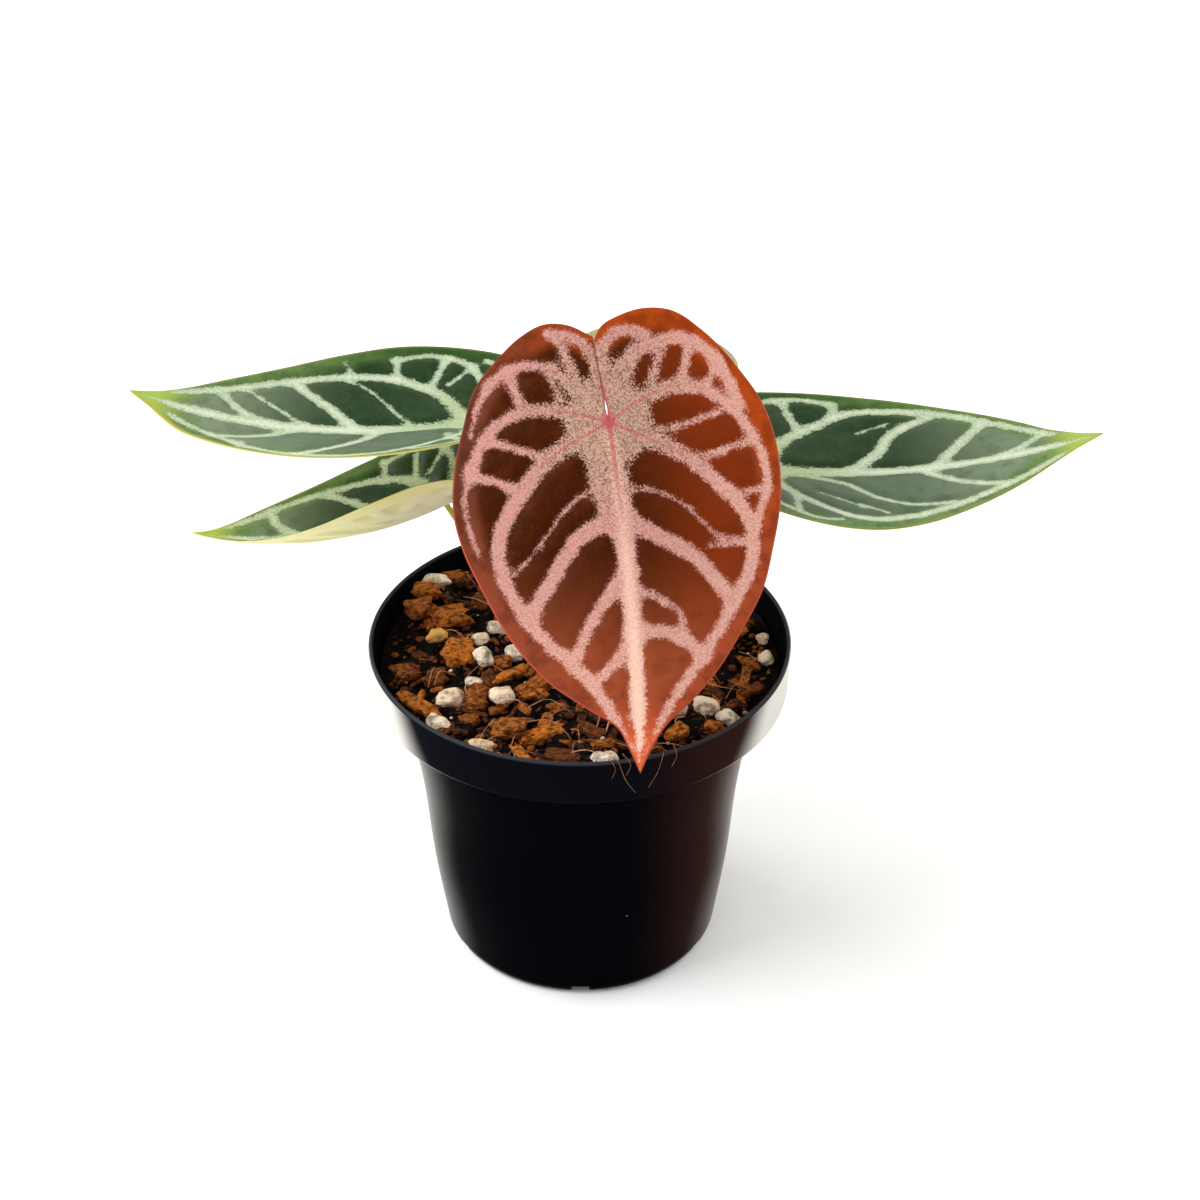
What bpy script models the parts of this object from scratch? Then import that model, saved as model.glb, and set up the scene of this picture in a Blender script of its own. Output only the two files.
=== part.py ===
"""Potted anthurium: five velvet leaves on slender petioles, a rooted stem, potting mix and a nursery pot.

The origin is the middle of the pot's flat base, +Z is up and the front is -Y. The scene is in metres.
Sizes below are in millimetres, and angles in degrees; MM turns a size to metres where a mesh is made.
"""
import math
import random

import bmesh
import bpy
import numpy as np
from mathutils import Euler, Vector

MM = 0.001
CLEARANCE = 0.3          # air between two pieces that touch
FACET_ALLOWANCE = 0.3    # what the flat sides of a round hole take from its clearance

POT_HEIGHT = 87.0
RIM_RADIUS = 52.5
BAND_HEIGHT = 12.6
BAND_FOOT_RADIUS = 51.9
WALL = 1.2
LIP = 0.5
BASE_RECESS = 1.0
POT_SIDES = 48
BASE_OUTLINE = ((0.0, 0.0), (10.0, 0.0), (10.8, BASE_RECESS), (23.0, BASE_RECESS), (24.0, 0.0), (32.0, 0.0))
BODY_OUTLINE = ((34.2, 0.9), (35.0, 2.6), (38.0, 23.0), (40.2, 46.0), (44.2, 71.0))
SHOULDER_OUTLINE = ((45.8, 73.6), (51.2, 74.4))
NOTCH_COUNT = 6
NOTCH_TURN = -30.0
NOTCH_SIZE = (7.0, 4.5, 3.6)
NOTCH_RADIUS = 34.0
NOTCH_OVERCUT = 0.8      # how far the notch cutters reach below the base
HEEL_CORNER = (1.4, 1.6)  # slanted inside corner between floor and wall, across and up
INNER_LIP = 0.3

SOIL_LEVEL = 80.0
SOIL_WAVE_HEIGHT = 0.8
SOIL_WAVES = ((0.21, 1.3), (0.17, -0.4))
SOIL_CROSS_WAVE = (0.6, 0.43, -0.31)
SOIL_DISH = 1.2
SOIL_SIDES = 36
SOIL_RINGS = (9.0, 18.0, 27.0, 36.0, 45.0)
SOIL_REACH = 56.0
CROWN = (4.0, 14.0)
CROWN_CLEAR_RADIUS = 15.0
MIX_SEED = 31
FILL_CHIPS = 16
FILL_PERLITE = 12
FILL_RADIUS = 45.0
FILL_SPACING = 0.62
FILL_PROPORTION = (0.6, 0.95)
CHIP_LENGTHS = (5.5, 9.5)
PERLITE_LENGTHS = (3.6, 5.6)
HUSK_THICKNESS = 0.55
HUSK_TOP_RADIUS = 0.42
HUSK_UNEVENNESS = 0.14
HUSK_LIFT = 0.12
PERLITE_THICKNESS = 0.8
PERLITE_UNEVENNESS = 0.12
PERLITE_LIFT = 0.2
THICK_ENOUGH = 6.0       # a wider bit gets no thicker and rises no higher
BIT_TILT = 9.0

# Each bit of the mix that shows at the front: x, y, length, width and turn.
HUSK_CHIPS = (
    (-39.5, 25, 6.4, 5.4, 0), (-33, 33, 6.4, 3.7, 20), (-40.5, 18, 6.4, 6.1, 30), (-33.5, 16, 8.9, 7.7, 10),
    (-30, 1, 7.8, 9.0, 0), (-19.5, -2, 4.2, 5.3, 0), (-17, -8, 10.2, 3.3, 43), (-11.5, -13.5, 10.0, 4.9, 39),
    (-25, -17, 5.9, 7.7, 0), (-38.5, -21, 12.0, 3.9, -41), (-17, -30, 7.6, 7.0, 0), (-8.5, -31, 9.8, 4.4, 17),
    (-13.5, -39, 9.0, 2.6, -62), (-4, -41, 9.4, 5.3, -10), (3, -31, 7.6, 3.6, -24), (-43, -6.5, 6.2, 4.9, 15),
    (-35.5, -8.5, 5.0, 6.1, 0), (41.5, 1, 5.4, 2.0, -14), (41, -8, 9.0, 2.2, 82), (33.5, -13, 10.0, 2.2, -77),
    (42, -14, 5.6, 3.2, 31), (32.5, -28.5, 4.4, 4.2, 0), (23.5, -31.5, 6.0, 4.6, 40),
)
PERLITE_GRAINS = (
    (-37, 30, 7.2, 4.6, 0), (-36, 8, 5.0, 4.3, 0), (-25, 7, 4.4, 3.8, 0), (-24, -1, 5.0, 6.1, 0),
    (-16, 3, 5.0, 4.9, 0), (-31.5, -16.5, 7.6, 5.7, 20), (-19, -17, 5.9, 4.9, 0), (-34, -28.5, 6.6, 4.4, -43),
    (-23, -37.5, 5.9, 4.2, 0), (6, -42, 5.9, 4.6, 0), (46, 10, 3.6, 3.2, 0), (46.5, 0.5, 3.6, 4.6, 30),
    (31, -21, 6.1, 5.0, 0), (36, -24.5, 6.1, 4.6, -51),
)

STEM_SIDES = 18
STEM_OUTLINE = ((0.0, 50.0), (2.6, 52.5), (3.9, 60.0), (4.3, 72.0), (4.6, 80.0))
KNOB_RADIUS = 6.2
KNOB_HEIGHT = 87.0
KNOB_ANGLES = (-40, -15, 10, 35, 60, 80)
SCALE_SUNK = (0.6, 3.0)  # how deep a scale's foot sits in the knob, sideways and down
SCALE_TURNS = (-125.0, -35.0, 40.0)
SCALE_LENGTH = 15.0
SCALE_RADII = (2.2, 0.4)
SCALE_LEAN = 14.0
ROOT_COUNT = 5
ROOT_TURN = 20.0
ROOT_START_HEIGHT = 64.0
ROOT_START_STEP = 1.5
ROOT_END_HEIGHT = 22.0
ROOT_END_STEP = 5.0
ROOT_REACH = 27.0
ROOT_REACH_STEP = 3.0
ROOT_HANDLES = (18.0, 20.0)  # how far a root keeps its way out, and its way down
ROOT_RADII = (1.5, 0.9)
ROOT_POINTS = 7

BLADE_THICKNESS = 0.8
FOLD_SOFTNESS = 3.0
CURL_REACH = 0.462
OUTLINE_STEPS = 21
BLADE_RINGS = (0.1, 0.26, 0.44, 0.62, 0.8, 1.0)
PETIOLE_POINTS = 15
PETIOLE_HANDLES = (0.36, 0.34)
# Petiole radius along its length, from the sheath at the stem to the swelling under the blade.
PETIOLE_RADII = ((0.0, 1.8), (0.12, 1.5), (0.35, 1.0), (0.8, 0.72), (0.9, 0.85), (1.0, 0.68))

# Half outlines of a blade from the notch round to the tip: (across, along), as shares of its length.
GREEN_HALF = (
    (0.012, -0.245), (0.06, -0.30), (0.15, -0.315), (0.27, -0.26), (0.375, -0.145), (0.445, 0.02), (0.462, 0.19),
    (0.415, 0.39), (0.315, 0.585), (0.195, 0.755), (0.095, 0.865), (0.045, 0.925), (0.0, 1.0),
)
RED_LEFT_HALF = (
    (0.012, -0.256), (0.06, -0.298), (0.134, -0.316), (0.205, -0.292), (0.28, -0.239), (0.364, -0.155),
    (0.41, -0.05), (0.455, 0.085), (0.472, 0.21), (0.455, 0.33), (0.416, 0.445), (0.35, 0.594), (0.243, 0.736),
    (0.14, 0.815), (0.056, 0.876), (0.03, 0.93), (0.0, 1.0),
)
RED_RIGHT_HALF = (
    (0.003, -0.247), (0.03, -0.284), (0.087, -0.309), (0.16, -0.322), (0.239, -0.309), (0.328, -0.235),
    (0.411, -0.12), (0.468, -0.01), (0.49, 0.14), (0.475, 0.27), (0.437, 0.39), (0.393, 0.504), (0.32, 0.614),
    (0.236, 0.724), (0.143, 0.815), (0.075, 0.872), (0.035, 0.93), (0.0, 1.0),
)

# Each leaf: where its petiole joins the blade, the blade's length, the way it points and how it bends.
# fold and curl are given for the side right of the midrib and the side left of it, looking to the tip.
# lobe_droop bends the lobes behind the petiole apart from the rest.
# knob is the turn and rise of the spot on the stem where the petiole starts, and lean is how far the
# petiole's last stretch leans in x and y for each unit that it rises. handles say how far it keeps its first
# and its last direction, as shares of its span.
LEAVES = {
    "red": dict(at=(7.0, -16.3, 158.2), length=81.3, heading=-77.4, pitch=-45.0, droop=12.0, roll=2.0, twist=0.0,
                fold=(4.0, 4.0), curl=(8.0, 8.0), fold_growth=0.0, sweep=-5.6,
                halves=(RED_LEFT_HALF, RED_RIGHT_HALF), knob=(-80.0, 46.0)),
    "left_upper": dict(at=(-26.6, 22.3, 135.2), length=84.9, heading=187.8, pitch=-4.6, droop=-19.8, roll=11.5,
                       twist=-6.8, fold=(-7.7, -14.6), curl=(-12.2, -0.3), fold_growth=-0.2, sweep=-19.2,
                       halves=(GREEN_HALF, GREEN_HALF), knob=(155.0, 68.0), lean=(2.6, 0.0),
                       handles=(0.5, 0.4)),
    "left_lower": dict(at=(-33.3, 13.1, 118.1), length=65.8, heading=176.2, pitch=-30.7, droop=-41.9, roll=-2.5,
                       twist=2.9, fold=(-6.5, -41.8), curl=(-1.6, -7.5), fold_growth=-0.23, sweep=2.2,
                       lobe_droop=150.0, halves=(GREEN_HALF, GREEN_HALF), knob=(190.0, 14.0)),
    "right": dict(at=(46.2, 17.7, 124.8), length=85.9, heading=14.0, pitch=-14.9, droop=-37.3, roll=-5.9,
                  twist=0.8, fold=(-7.4, -4.7), curl=(4.0, -5.5), fold_growth=0.0, sweep=-21.1,
                  halves=(GREEN_HALF, GREEN_HALF), knob=(4.0, 24.0)),
    "back": dict(at=(17.9, 62.3, 136.7), length=54.5, heading=74.0, pitch=-44.0, droop=14.0, roll=-9.0,
                 twist=0.0, fold=(8.0, 8.0), curl=(8.0, 8.0), fold_growth=0.0, sweep=0.0,
                 halves=(GREEN_HALF, GREEN_HALF), knob=(76.0, 30.0)),
}


def clear_scene():
    """Removes what the scene holds."""
    for obj in list(bpy.data.objects):
        bpy.data.objects.remove(obj, do_unlink=True)


def finish_material(name, colour, roughness):
    """A plain finish with the part's colour and roughness."""
    material = bpy.data.materials.new(name)
    material.use_nodes = True
    shader = material.node_tree.nodes["Principled BSDF"]
    shader.inputs["Base Color"].default_value = (*colour, 1.0)
    shader.inputs["Roughness"].default_value = roughness
    shader.inputs["Metallic"].default_value = 0.0
    return material


def new_object(name, data, collection=None):
    """Links a new object to the scene or to a collection."""
    obj = bpy.data.objects.new(name, data)
    (collection or bpy.context.scene.collection).objects.link(obj)
    return obj


def mesh_from_bmesh(name, bm):
    """Ends a bmesh as a mesh datablock with outward faces."""
    bmesh.ops.recalc_face_normals(bm, faces=bm.faces)
    mesh = bpy.data.meshes.new(name)
    bm.to_mesh(mesh)
    bm.free()
    return mesh


def turned_mesh(name, outline, sides, centre=(0.0, 0.0)):
    """Spins an outline of (radius, height) points, which starts and ends on the axis, about Z."""
    bm = bmesh.new()
    verts = [bm.verts.new((radius * MM, 0.0, height * MM)) for radius, height in outline]
    edges = [bm.edges.new(pair) for pair in zip(verts, verts[1:])]
    bmesh.ops.spin(bm, geom=verts + edges, cent=(0, 0, 0), axis=(0, 0, 1), angle=math.tau, steps=sides,
                   use_merge=True)
    bmesh.ops.remove_doubles(bm, verts=bm.verts, dist=1e-6)
    bmesh.ops.translate(bm, verts=bm.verts, vec=(centre[0] * MM, centre[1] * MM, 0.0))
    return mesh_from_bmesh(name, bm)


def shade(obj, sharp_angle=35.0):
    """Shades a round piece smooth and keeps its corners sharp."""
    obj.data.shade_smooth()
    obj.data.set_sharp_from_angle(angle=math.radians(sharp_angle))


def bake_modifiers(obj):
    """Puts the result of an object's modifiers into its own mesh."""
    graph = bpy.context.evaluated_depsgraph_get()
    mesh = bpy.data.meshes.new_from_object(obj.evaluated_get(graph))
    obj.modifiers.clear()
    obj.data = mesh


def boolean(obj, operation, operand):
    """Joins, cuts or trims an object by another object or by a whole collection, and applies it."""
    modifier = obj.modifiers.new(operation.title(), "BOOLEAN")
    modifier.operation = operation
    modifier.solver = "EXACT"
    if isinstance(operand, bpy.types.Collection):
        modifier.operand_type = "COLLECTION"
        modifier.collection = operand
    else:
        modifier.object = operand
    bpy.context.view_layer.update()
    bake_modifiers(obj)


def working_collection(name):
    """A collection for shapes that are joined to a piece or cut from it."""
    collection = bpy.data.collections.new(name)
    bpy.context.scene.collection.children.link(collection)
    return collection


def drop_collection(collection):
    """Removes a working collection and its shapes."""
    for obj in list(collection.objects):
        bpy.data.objects.remove(obj, do_unlink=True)
    bpy.data.collections.remove(collection)


def pot_outer_outline():
    """The pot's outside from the middle of its base up to the rim."""
    rim = ((BAND_FOOT_RADIUS, POT_HEIGHT - BAND_HEIGHT + LIP), (RIM_RADIUS, POT_HEIGHT - LIP),
           (RIM_RADIUS - LIP, POT_HEIGHT))
    return BASE_OUTLINE + BODY_OUTLINE + SHOULDER_OUTLINE + rim


def pot_hollow_outline(clearance=0.0):
    """The pot's inside from the middle of its floor up to the lip, drawn in by a clearance."""
    floor = BASE_RECESS + WALL
    inside = BODY_OUTLINE[1][0] - WALL
    heel = [(inside - HEEL_CORNER[0], floor), (inside, floor + HEEL_CORNER[1])]
    wall = [(radius - WALL, height) for radius, height in BODY_OUTLINE[2:]]
    shoulder = [(radius - WALL, height + WALL) for radius, height in SHOULDER_OUTLINE]
    lip = [(RIM_RADIUS - WALL, POT_HEIGHT - LIP)]
    points = [(radius - clearance, height + clearance) for radius, height in heel + wall + shoulder + lip]
    return [(0.0, floor + clearance)] + points


def make_pot():
    """The nursery pot: one turned shell with a stepped band, and drain notches round its heel."""
    outer = pot_outer_outline()
    hollow = pot_hollow_outline()
    lip = [(RIM_RADIUS - WALL + INNER_LIP, POT_HEIGHT)]
    pot = new_object("pot", turned_mesh("pot", list(outer) + lip + hollow[::-1], POT_SIDES))
    notches = working_collection("notches")
    for index in range(NOTCH_COUNT):
        turn = math.radians(NOTCH_TURN + index * 360.0 / NOTCH_COUNT)
        bm = bmesh.new()
        bmesh.ops.create_cube(bm, size=1.0)
        bmesh.ops.scale(bm, verts=bm.verts, vec=[size * MM for size in NOTCH_SIZE])
        notch = new_object(f"notch_{index}", mesh_from_bmesh("notch", bm), notches)
        middle = (NOTCH_RADIUS * math.cos(turn), NOTCH_RADIUS * math.sin(turn),
                  NOTCH_SIZE[2] / 2 - NOTCH_OVERCUT)
        notch.location = [value * MM for value in middle]
        notch.rotation_euler = Euler((0, 0, turn))
    boolean(pot, "DIFFERENCE", notches)
    drop_collection(notches)
    shade(pot)
    pot.data.materials.append(finish_material("black_plastic", (0.006, 0.006, 0.008), 0.3))


def keep_main_body(mesh):
    """Fills pockets that the joined bits seal and drops loose scraps: only the largest shell stays."""
    bm = bmesh.new()
    bm.from_mesh(mesh)
    left = set(bm.faces)
    shells = []
    while left:
        shell, front = set(), [left.pop()]
        while front:
            face = front.pop()
            shell.add(face)
            near = {other for edge in face.edges for other in edge.link_faces} & left
            left -= near
            front += near
        shells.append(shell)
    shells.sort(key=len)
    bmesh.ops.delete(bm, geom=[face for shell in shells[:-1] for face in shell], context="FACES")
    bm.to_mesh(mesh)
    bm.free()


def soil_height(x, y):
    """Height of the mix: long low waves, dished towards the wall."""
    (rate_x, shift_x), (rate_y, shift_y) = SOIL_WAVES
    share, cross_x, cross_y = SOIL_CROSS_WAVE
    waves = math.sin(rate_x * x + shift_x) * math.cos(rate_y * y + shift_y)
    waves += share * math.sin(cross_x * x + cross_y * y)
    return SOIL_LEVEL + SOIL_WAVE_HEIGHT * waves - SOIL_DISH * (math.hypot(x, y) / RIM_RADIUS) ** 4


def rough_up(bm, rng, amount):
    """Moves each vertex by a seeded share of its distance from the middle."""
    for vert in bm.verts:
        vert.co *= 1.0 + rng.uniform(-amount, amount)


def husk_mesh(rng, length, width):
    """A flat six-sided flake of coconut husk."""
    bm = bmesh.new()
    bmesh.ops.create_cone(bm, cap_ends=True, segments=6, radius1=0.5, radius2=HUSK_TOP_RADIUS, depth=1.0)
    rough_up(bm, rng, HUSK_UNEVENNESS)
    thickness = HUSK_THICKNESS * min(length, width, THICK_ENOUGH)
    bmesh.ops.scale(bm, verts=bm.verts, vec=(length * MM, width * MM, thickness * MM))
    bmesh.ops.triangulate(bm, faces=bm.faces)
    return mesh_from_bmesh("husk", bm)


def perlite_mesh(rng, length, width):
    """A lumpy grain of perlite with twenty faces."""
    bm = bmesh.new()
    bmesh.ops.create_icosphere(bm, subdivisions=1, radius=0.5)
    rough_up(bm, rng, PERLITE_UNEVENNESS)
    thickness = PERLITE_THICKNESS * min(length, width)
    bmesh.ops.scale(bm, verts=bm.verts, vec=(length * MM, width * MM, thickness * MM))
    return mesh_from_bmesh("perlite", bm)


def scatter_bits(rng, taken, count, sizes):
    """Picks free places for more bits by a seeded rule: apart from each other, the stem and the wall."""
    bits = []
    while len(bits) < count:
        x, y = rng.uniform(-FILL_RADIUS, FILL_RADIUS), rng.uniform(-FILL_RADIUS, FILL_RADIUS)
        length = rng.uniform(*sizes)
        far_out = math.hypot(x, y) + length / 2 > FILL_RADIUS
        near_stem = math.hypot(x - CROWN[0], y - CROWN[1]) < CROWN_CLEAR_RADIUS
        crowded = any(math.hypot(x - bit[0], y - bit[1]) < FILL_SPACING * (length + bit[2])
                      for bit in taken + bits)
        if not (far_out or near_stem or crowded):
            bits.append((x, y, length, length * rng.uniform(*FILL_PROPORTION), rng.uniform(-90.0, 90.0)))
    return bits


def lay_bits(rng, bits, mesh_of, lift, collection):
    """Sets bits into the top of the mix, each turned and tilted a little, its root well sunk."""
    for x, y, length, width, turn in bits:
        bit = new_object("bit", mesh_of(rng, length, width), collection)
        bit.location = (x * MM, y * MM, (soil_height(x, y) + lift * min(length, width, THICK_ENOUGH)) * MM)
        tilt = [math.radians(rng.uniform(-BIT_TILT, BIT_TILT)) for _ in range(2)]
        bit.rotation_euler = Euler((tilt[0], tilt[1], math.radians(turn)))


def shape_soil_top(mesh):
    """Gives the flat top of the turned soil its waves, in flat triangles."""
    bm = bmesh.new()
    bm.from_mesh(mesh)
    for vert in bm.verts:
        if vert.co.z > 0:
            vert.co.z = soil_height(vert.co.x / MM, vert.co.y / MM) * MM
    bmesh.ops.triangulate(bm, faces=bm.faces)
    bm.to_mesh(mesh)
    bm.free()


def make_potting_mix():
    """The potting mix: soil with husk chips and perlite fused to its top, trimmed to the pot's hollow."""
    rng = random.Random(MIX_SEED)
    husk = list(HUSK_CHIPS)
    perlite = list(PERLITE_GRAINS)
    husk += scatter_bits(rng, husk + perlite, FILL_CHIPS, CHIP_LENGTHS)
    perlite += scatter_bits(rng, husk + perlite, FILL_PERLITE, PERLITE_LENGTHS)
    bits = working_collection("bits")
    lay_bits(rng, husk, husk_mesh, HUSK_LIFT, bits)
    lay_bits(rng, perlite, perlite_mesh, PERLITE_LIFT, bits)

    outline = [(0.0, -1.0), (SOIL_REACH, -1.0), (SOIL_REACH, SOIL_LEVEL)]
    outline += [(radius, SOIL_LEVEL) for radius in SOIL_RINGS[::-1]] + [(0.0, SOIL_LEVEL)]
    mix = new_object("potting_mix", turned_mesh("potting_mix", outline, SOIL_SIDES))
    shape_soil_top(mix.data)
    boolean(mix, "UNION", bits)
    drop_collection(bits)

    hollow = pot_hollow_outline(CLEARANCE)
    above = POT_HEIGHT + 10.0
    hollow += [(hollow[-1][0], above), (0.0, above)]
    trim = new_object("hollow", turned_mesh("hollow", hollow, POT_SIDES))
    boolean(mix, "INTERSECT", trim)
    bpy.data.objects.remove(trim, do_unlink=True)

    channels = working_collection("channels")
    stem_shapes(CLEARANCE + FACET_ALLOWANCE, channels)
    boolean(mix, "DIFFERENCE", channels)
    drop_collection(channels)
    keep_main_body(mix.data)
    mix.data.materials.append(finish_material("potting_mix", (0.05, 0.022, 0.01), 0.95))


def bezier(start, start_handle, end_handle, end, count):
    """Points along the smooth curve that leaves start for its handle and comes to end from its own."""
    t = np.linspace(0.0, 1.0, count)[:, None]
    a, b, c, d = (np.array(point, float) for point in (start, start_handle, end_handle, end))
    return (1 - t) ** 3 * a + 3 * (1 - t) ** 2 * t * b + 3 * (1 - t) * t ** 2 * c + t ** 3 * d


def rod_curve(name, points, radii, collection=None, roundness=2):
    """A rod with closed ends along points, with a radius for each; its sides are four and two per roundness."""
    curve = bpy.data.curves.new(name, "CURVE")
    curve.dimensions = "3D"
    curve.bevel_depth = MM
    curve.bevel_resolution = roundness
    curve.use_fill_caps = True
    spline = curve.splines.new("POLY")
    spline.points.add(len(points) - 1)
    for spot, point, radius in zip(spline.points, points, radii):
        spot.co = (*(value * MM for value in point), 1.0)
        spot.radius = radius
    return new_object(name, curve, collection)


def root_path(index, extra):
    """A root's path: out from the stem's foot, then down towards the wall."""
    turn = math.radians(ROOT_TURN + index * 360.0 / ROOT_COUNT)
    out = Vector((math.cos(turn), math.sin(turn), 0.0))
    start = Vector((*CROWN, ROOT_START_HEIGHT - ROOT_START_STEP * index))
    end = Vector((0.0, 0.0, ROOT_END_HEIGHT + ROOT_END_STEP * (index % 3)))
    end += out * (ROOT_REACH - ROOT_REACH_STEP * (index % 2))
    path = bezier(start, start + out * ROOT_HANDLES[0], end + Vector((0, 0, ROOT_HANDLES[1])), end, ROOT_POINTS)
    return path if extra == 0.0 else np.vstack([path, end - Vector((0, 0, extra))])


def stem_shapes(extra, collection):
    """The stem, its scales and roots as overlapping shapes, each fatter by an extra radius."""
    knob = [((KNOB_RADIUS + extra) * math.cos(a), KNOB_HEIGHT + (KNOB_RADIUS + extra) * math.sin(a))
            for a in map(math.radians, KNOB_ANGLES)]
    foot = [(0.0, STEM_OUTLINE[0][1] - extra)]
    foot += [(radius + extra, height) for radius, height in STEM_OUTLINE[1:]]
    outline = foot + knob + [(0.0, KNOB_HEIGHT + KNOB_RADIUS + extra)]
    new_object("stem_core", turned_mesh("stem_core", outline, STEM_SIDES, CROWN), collection)
    for index in range(ROOT_COUNT):
        path = root_path(index, extra)
        radii = np.interp(range(len(path)), (0, ROOT_POINTS - 1), ROOT_RADII) + extra
        root = rod_curve("root_path", path, radii, collection, roundness=1)
        new_object(f"root_{index}", closed_copy(root), collection)
        bpy.data.objects.remove(root, do_unlink=True)


def closed_copy(obj):
    """A merged mesh of what an object looks like after its modifiers or its bevel."""
    bpy.context.view_layer.update()
    graph = bpy.context.evaluated_depsgraph_get()
    mesh = bpy.data.meshes.new_from_object(obj.evaluated_get(graph))
    bm = bmesh.new()
    bm.from_mesh(mesh)
    bmesh.ops.remove_doubles(bm, verts=bm.verts, dist=1e-6)
    return mesh_from_bmesh(obj.name, bm)


def make_stem():
    """The short stem with its knob, papery scales and thick roots, grown as one piece."""
    shapes = working_collection("stem_shapes")
    stem_shapes(0.0, shapes)
    for turn in SCALE_TURNS:
        bm = bmesh.new()
        bmesh.ops.create_cone(bm, cap_ends=True, segments=6, radius1=SCALE_RADII[0] * MM,
                              radius2=SCALE_RADII[1] * MM, depth=SCALE_LENGTH * MM)
        scale = new_object("scale", mesh_from_bmesh("scale", bm), shapes)
        out = Vector((math.cos(math.radians(turn)), math.sin(math.radians(turn)), 0.0))
        middle = Vector((*CROWN, KNOB_HEIGHT + SCALE_LENGTH / 2 - SCALE_SUNK[1]))
        middle += out * (KNOB_RADIUS - SCALE_SUNK[0])
        scale.location = middle * MM
        scale.rotation_euler = Euler((0.0, math.radians(SCALE_LEAN), math.radians(turn)))
    stem = shapes.objects["stem_core"]
    shapes.objects.unlink(stem)
    bpy.context.scene.collection.objects.link(stem)
    stem.name = "stem_and_roots"
    boolean(stem, "UNION", shapes)
    drop_collection(shapes)
    shade(stem, 50.0)
    stem.data.materials.append(finish_material("stem_green", (0.09, 0.1, 0.03), 0.6))


def smooth_outline(points, count):
    """Points along a smooth curve through the outline's points, evenly spaced along it."""
    points = np.array(points)
    reach = np.concatenate([[0.0], np.cumsum(np.linalg.norm(np.diff(points, axis=0), axis=1))])
    slope = np.gradient(points, reach, axis=0)
    at = np.linspace(0.0, reach[-1], count)
    index = np.clip(np.searchsorted(reach, at, side="right") - 1, 0, len(points) - 2)
    step = (reach[index + 1] - reach[index])[:, None]
    s = ((at - reach[index]) / (reach[index + 1] - reach[index]))[:, None]
    return ((2 * s ** 3 - 3 * s ** 2 + 1) * points[index] + (s ** 3 - 2 * s ** 2 + s) * step * slope[index]
            + (3 * s ** 2 - 2 * s ** 3) * points[index + 1] + (s ** 3 - s ** 2) * step * slope[index + 1])


def bent_line(distance, turn, length):
    """End of an arc of a given distance that turns by a given angle over a length, as a complex number."""
    half = turn * distance / (2.0 * length)
    return distance * np.exp(1j * half) * np.sinc(half / np.pi)


def blade_points(across, along, leaf):
    """Takes points of the flat blade, across and along its midrib, to the folded, curled, drooping blade."""
    length = leaf["length"]
    sweep = math.radians(leaf["sweep"])
    swept = bent_line(along, sweep, length) + 1j * across * np.exp(1j * sweep * along / length)
    along, across = swept.real, swept.imag
    left = across >= 0
    growth = 1.0 + leaf["fold_growth"] * along / length
    fold = np.radians(np.where(left, leaf["fold"][1], leaf["fold"][0])) * growth
    curl = np.radians(np.where(left, leaf["curl"][1], leaf["curl"][0])) * growth
    out = np.abs(across)
    half_turn = curl * out / (2.0 * CURL_REACH * length)
    rib = np.exp(1j * (fold + half_turn)) * np.sinc(half_turn / np.pi)
    sideways = np.sign(across) * out * rib.real
    rise = -(np.sqrt(out ** 2 + FOLD_SOFTNESS ** 2) - FOLD_SOFTNESS) * rib.imag
    droop = np.radians(np.where(along < 0, leaf.get("lobe_droop", leaf["droop"]), leaf["droop"]))
    pitch = math.radians(leaf["pitch"])
    spine = bent_line(along, -droop, length) * np.exp(1j * pitch)
    slope = pitch - droop * along / length
    roll = np.radians(leaf["roll"] + leaf["twist"] * along / length)
    heading = math.radians(leaf["heading"])
    ahead = np.array([math.cos(heading), math.sin(heading), 0.0])
    aside = np.array([-math.sin(heading), math.cos(heading), 0.0])
    up = np.array([0.0, 0.0, 1.0])
    normal = -np.sin(slope)[..., None] * ahead + np.cos(slope)[..., None] * up
    aside_rolled = np.cos(roll)[..., None] * aside + np.sin(roll)[..., None] * normal
    normal_rolled = -np.sin(roll)[..., None] * aside + np.cos(roll)[..., None] * normal
    return (np.array(leaf["at"]) + spine.real[..., None] * ahead + spine.imag[..., None] * up
            + sideways[..., None] * aside_rolled + rise[..., None] * normal_rolled)


def blade_normal(leaf):
    """The upward normal where the petiole joins the blade."""
    spots = blade_points(np.array([0.0, 0.0, 0.1]), np.array([0.0, 0.1, 0.0]), leaf)
    normal = np.cross(spots[1] - spots[0], spots[2] - spots[0])
    return normal / np.linalg.norm(normal)


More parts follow.
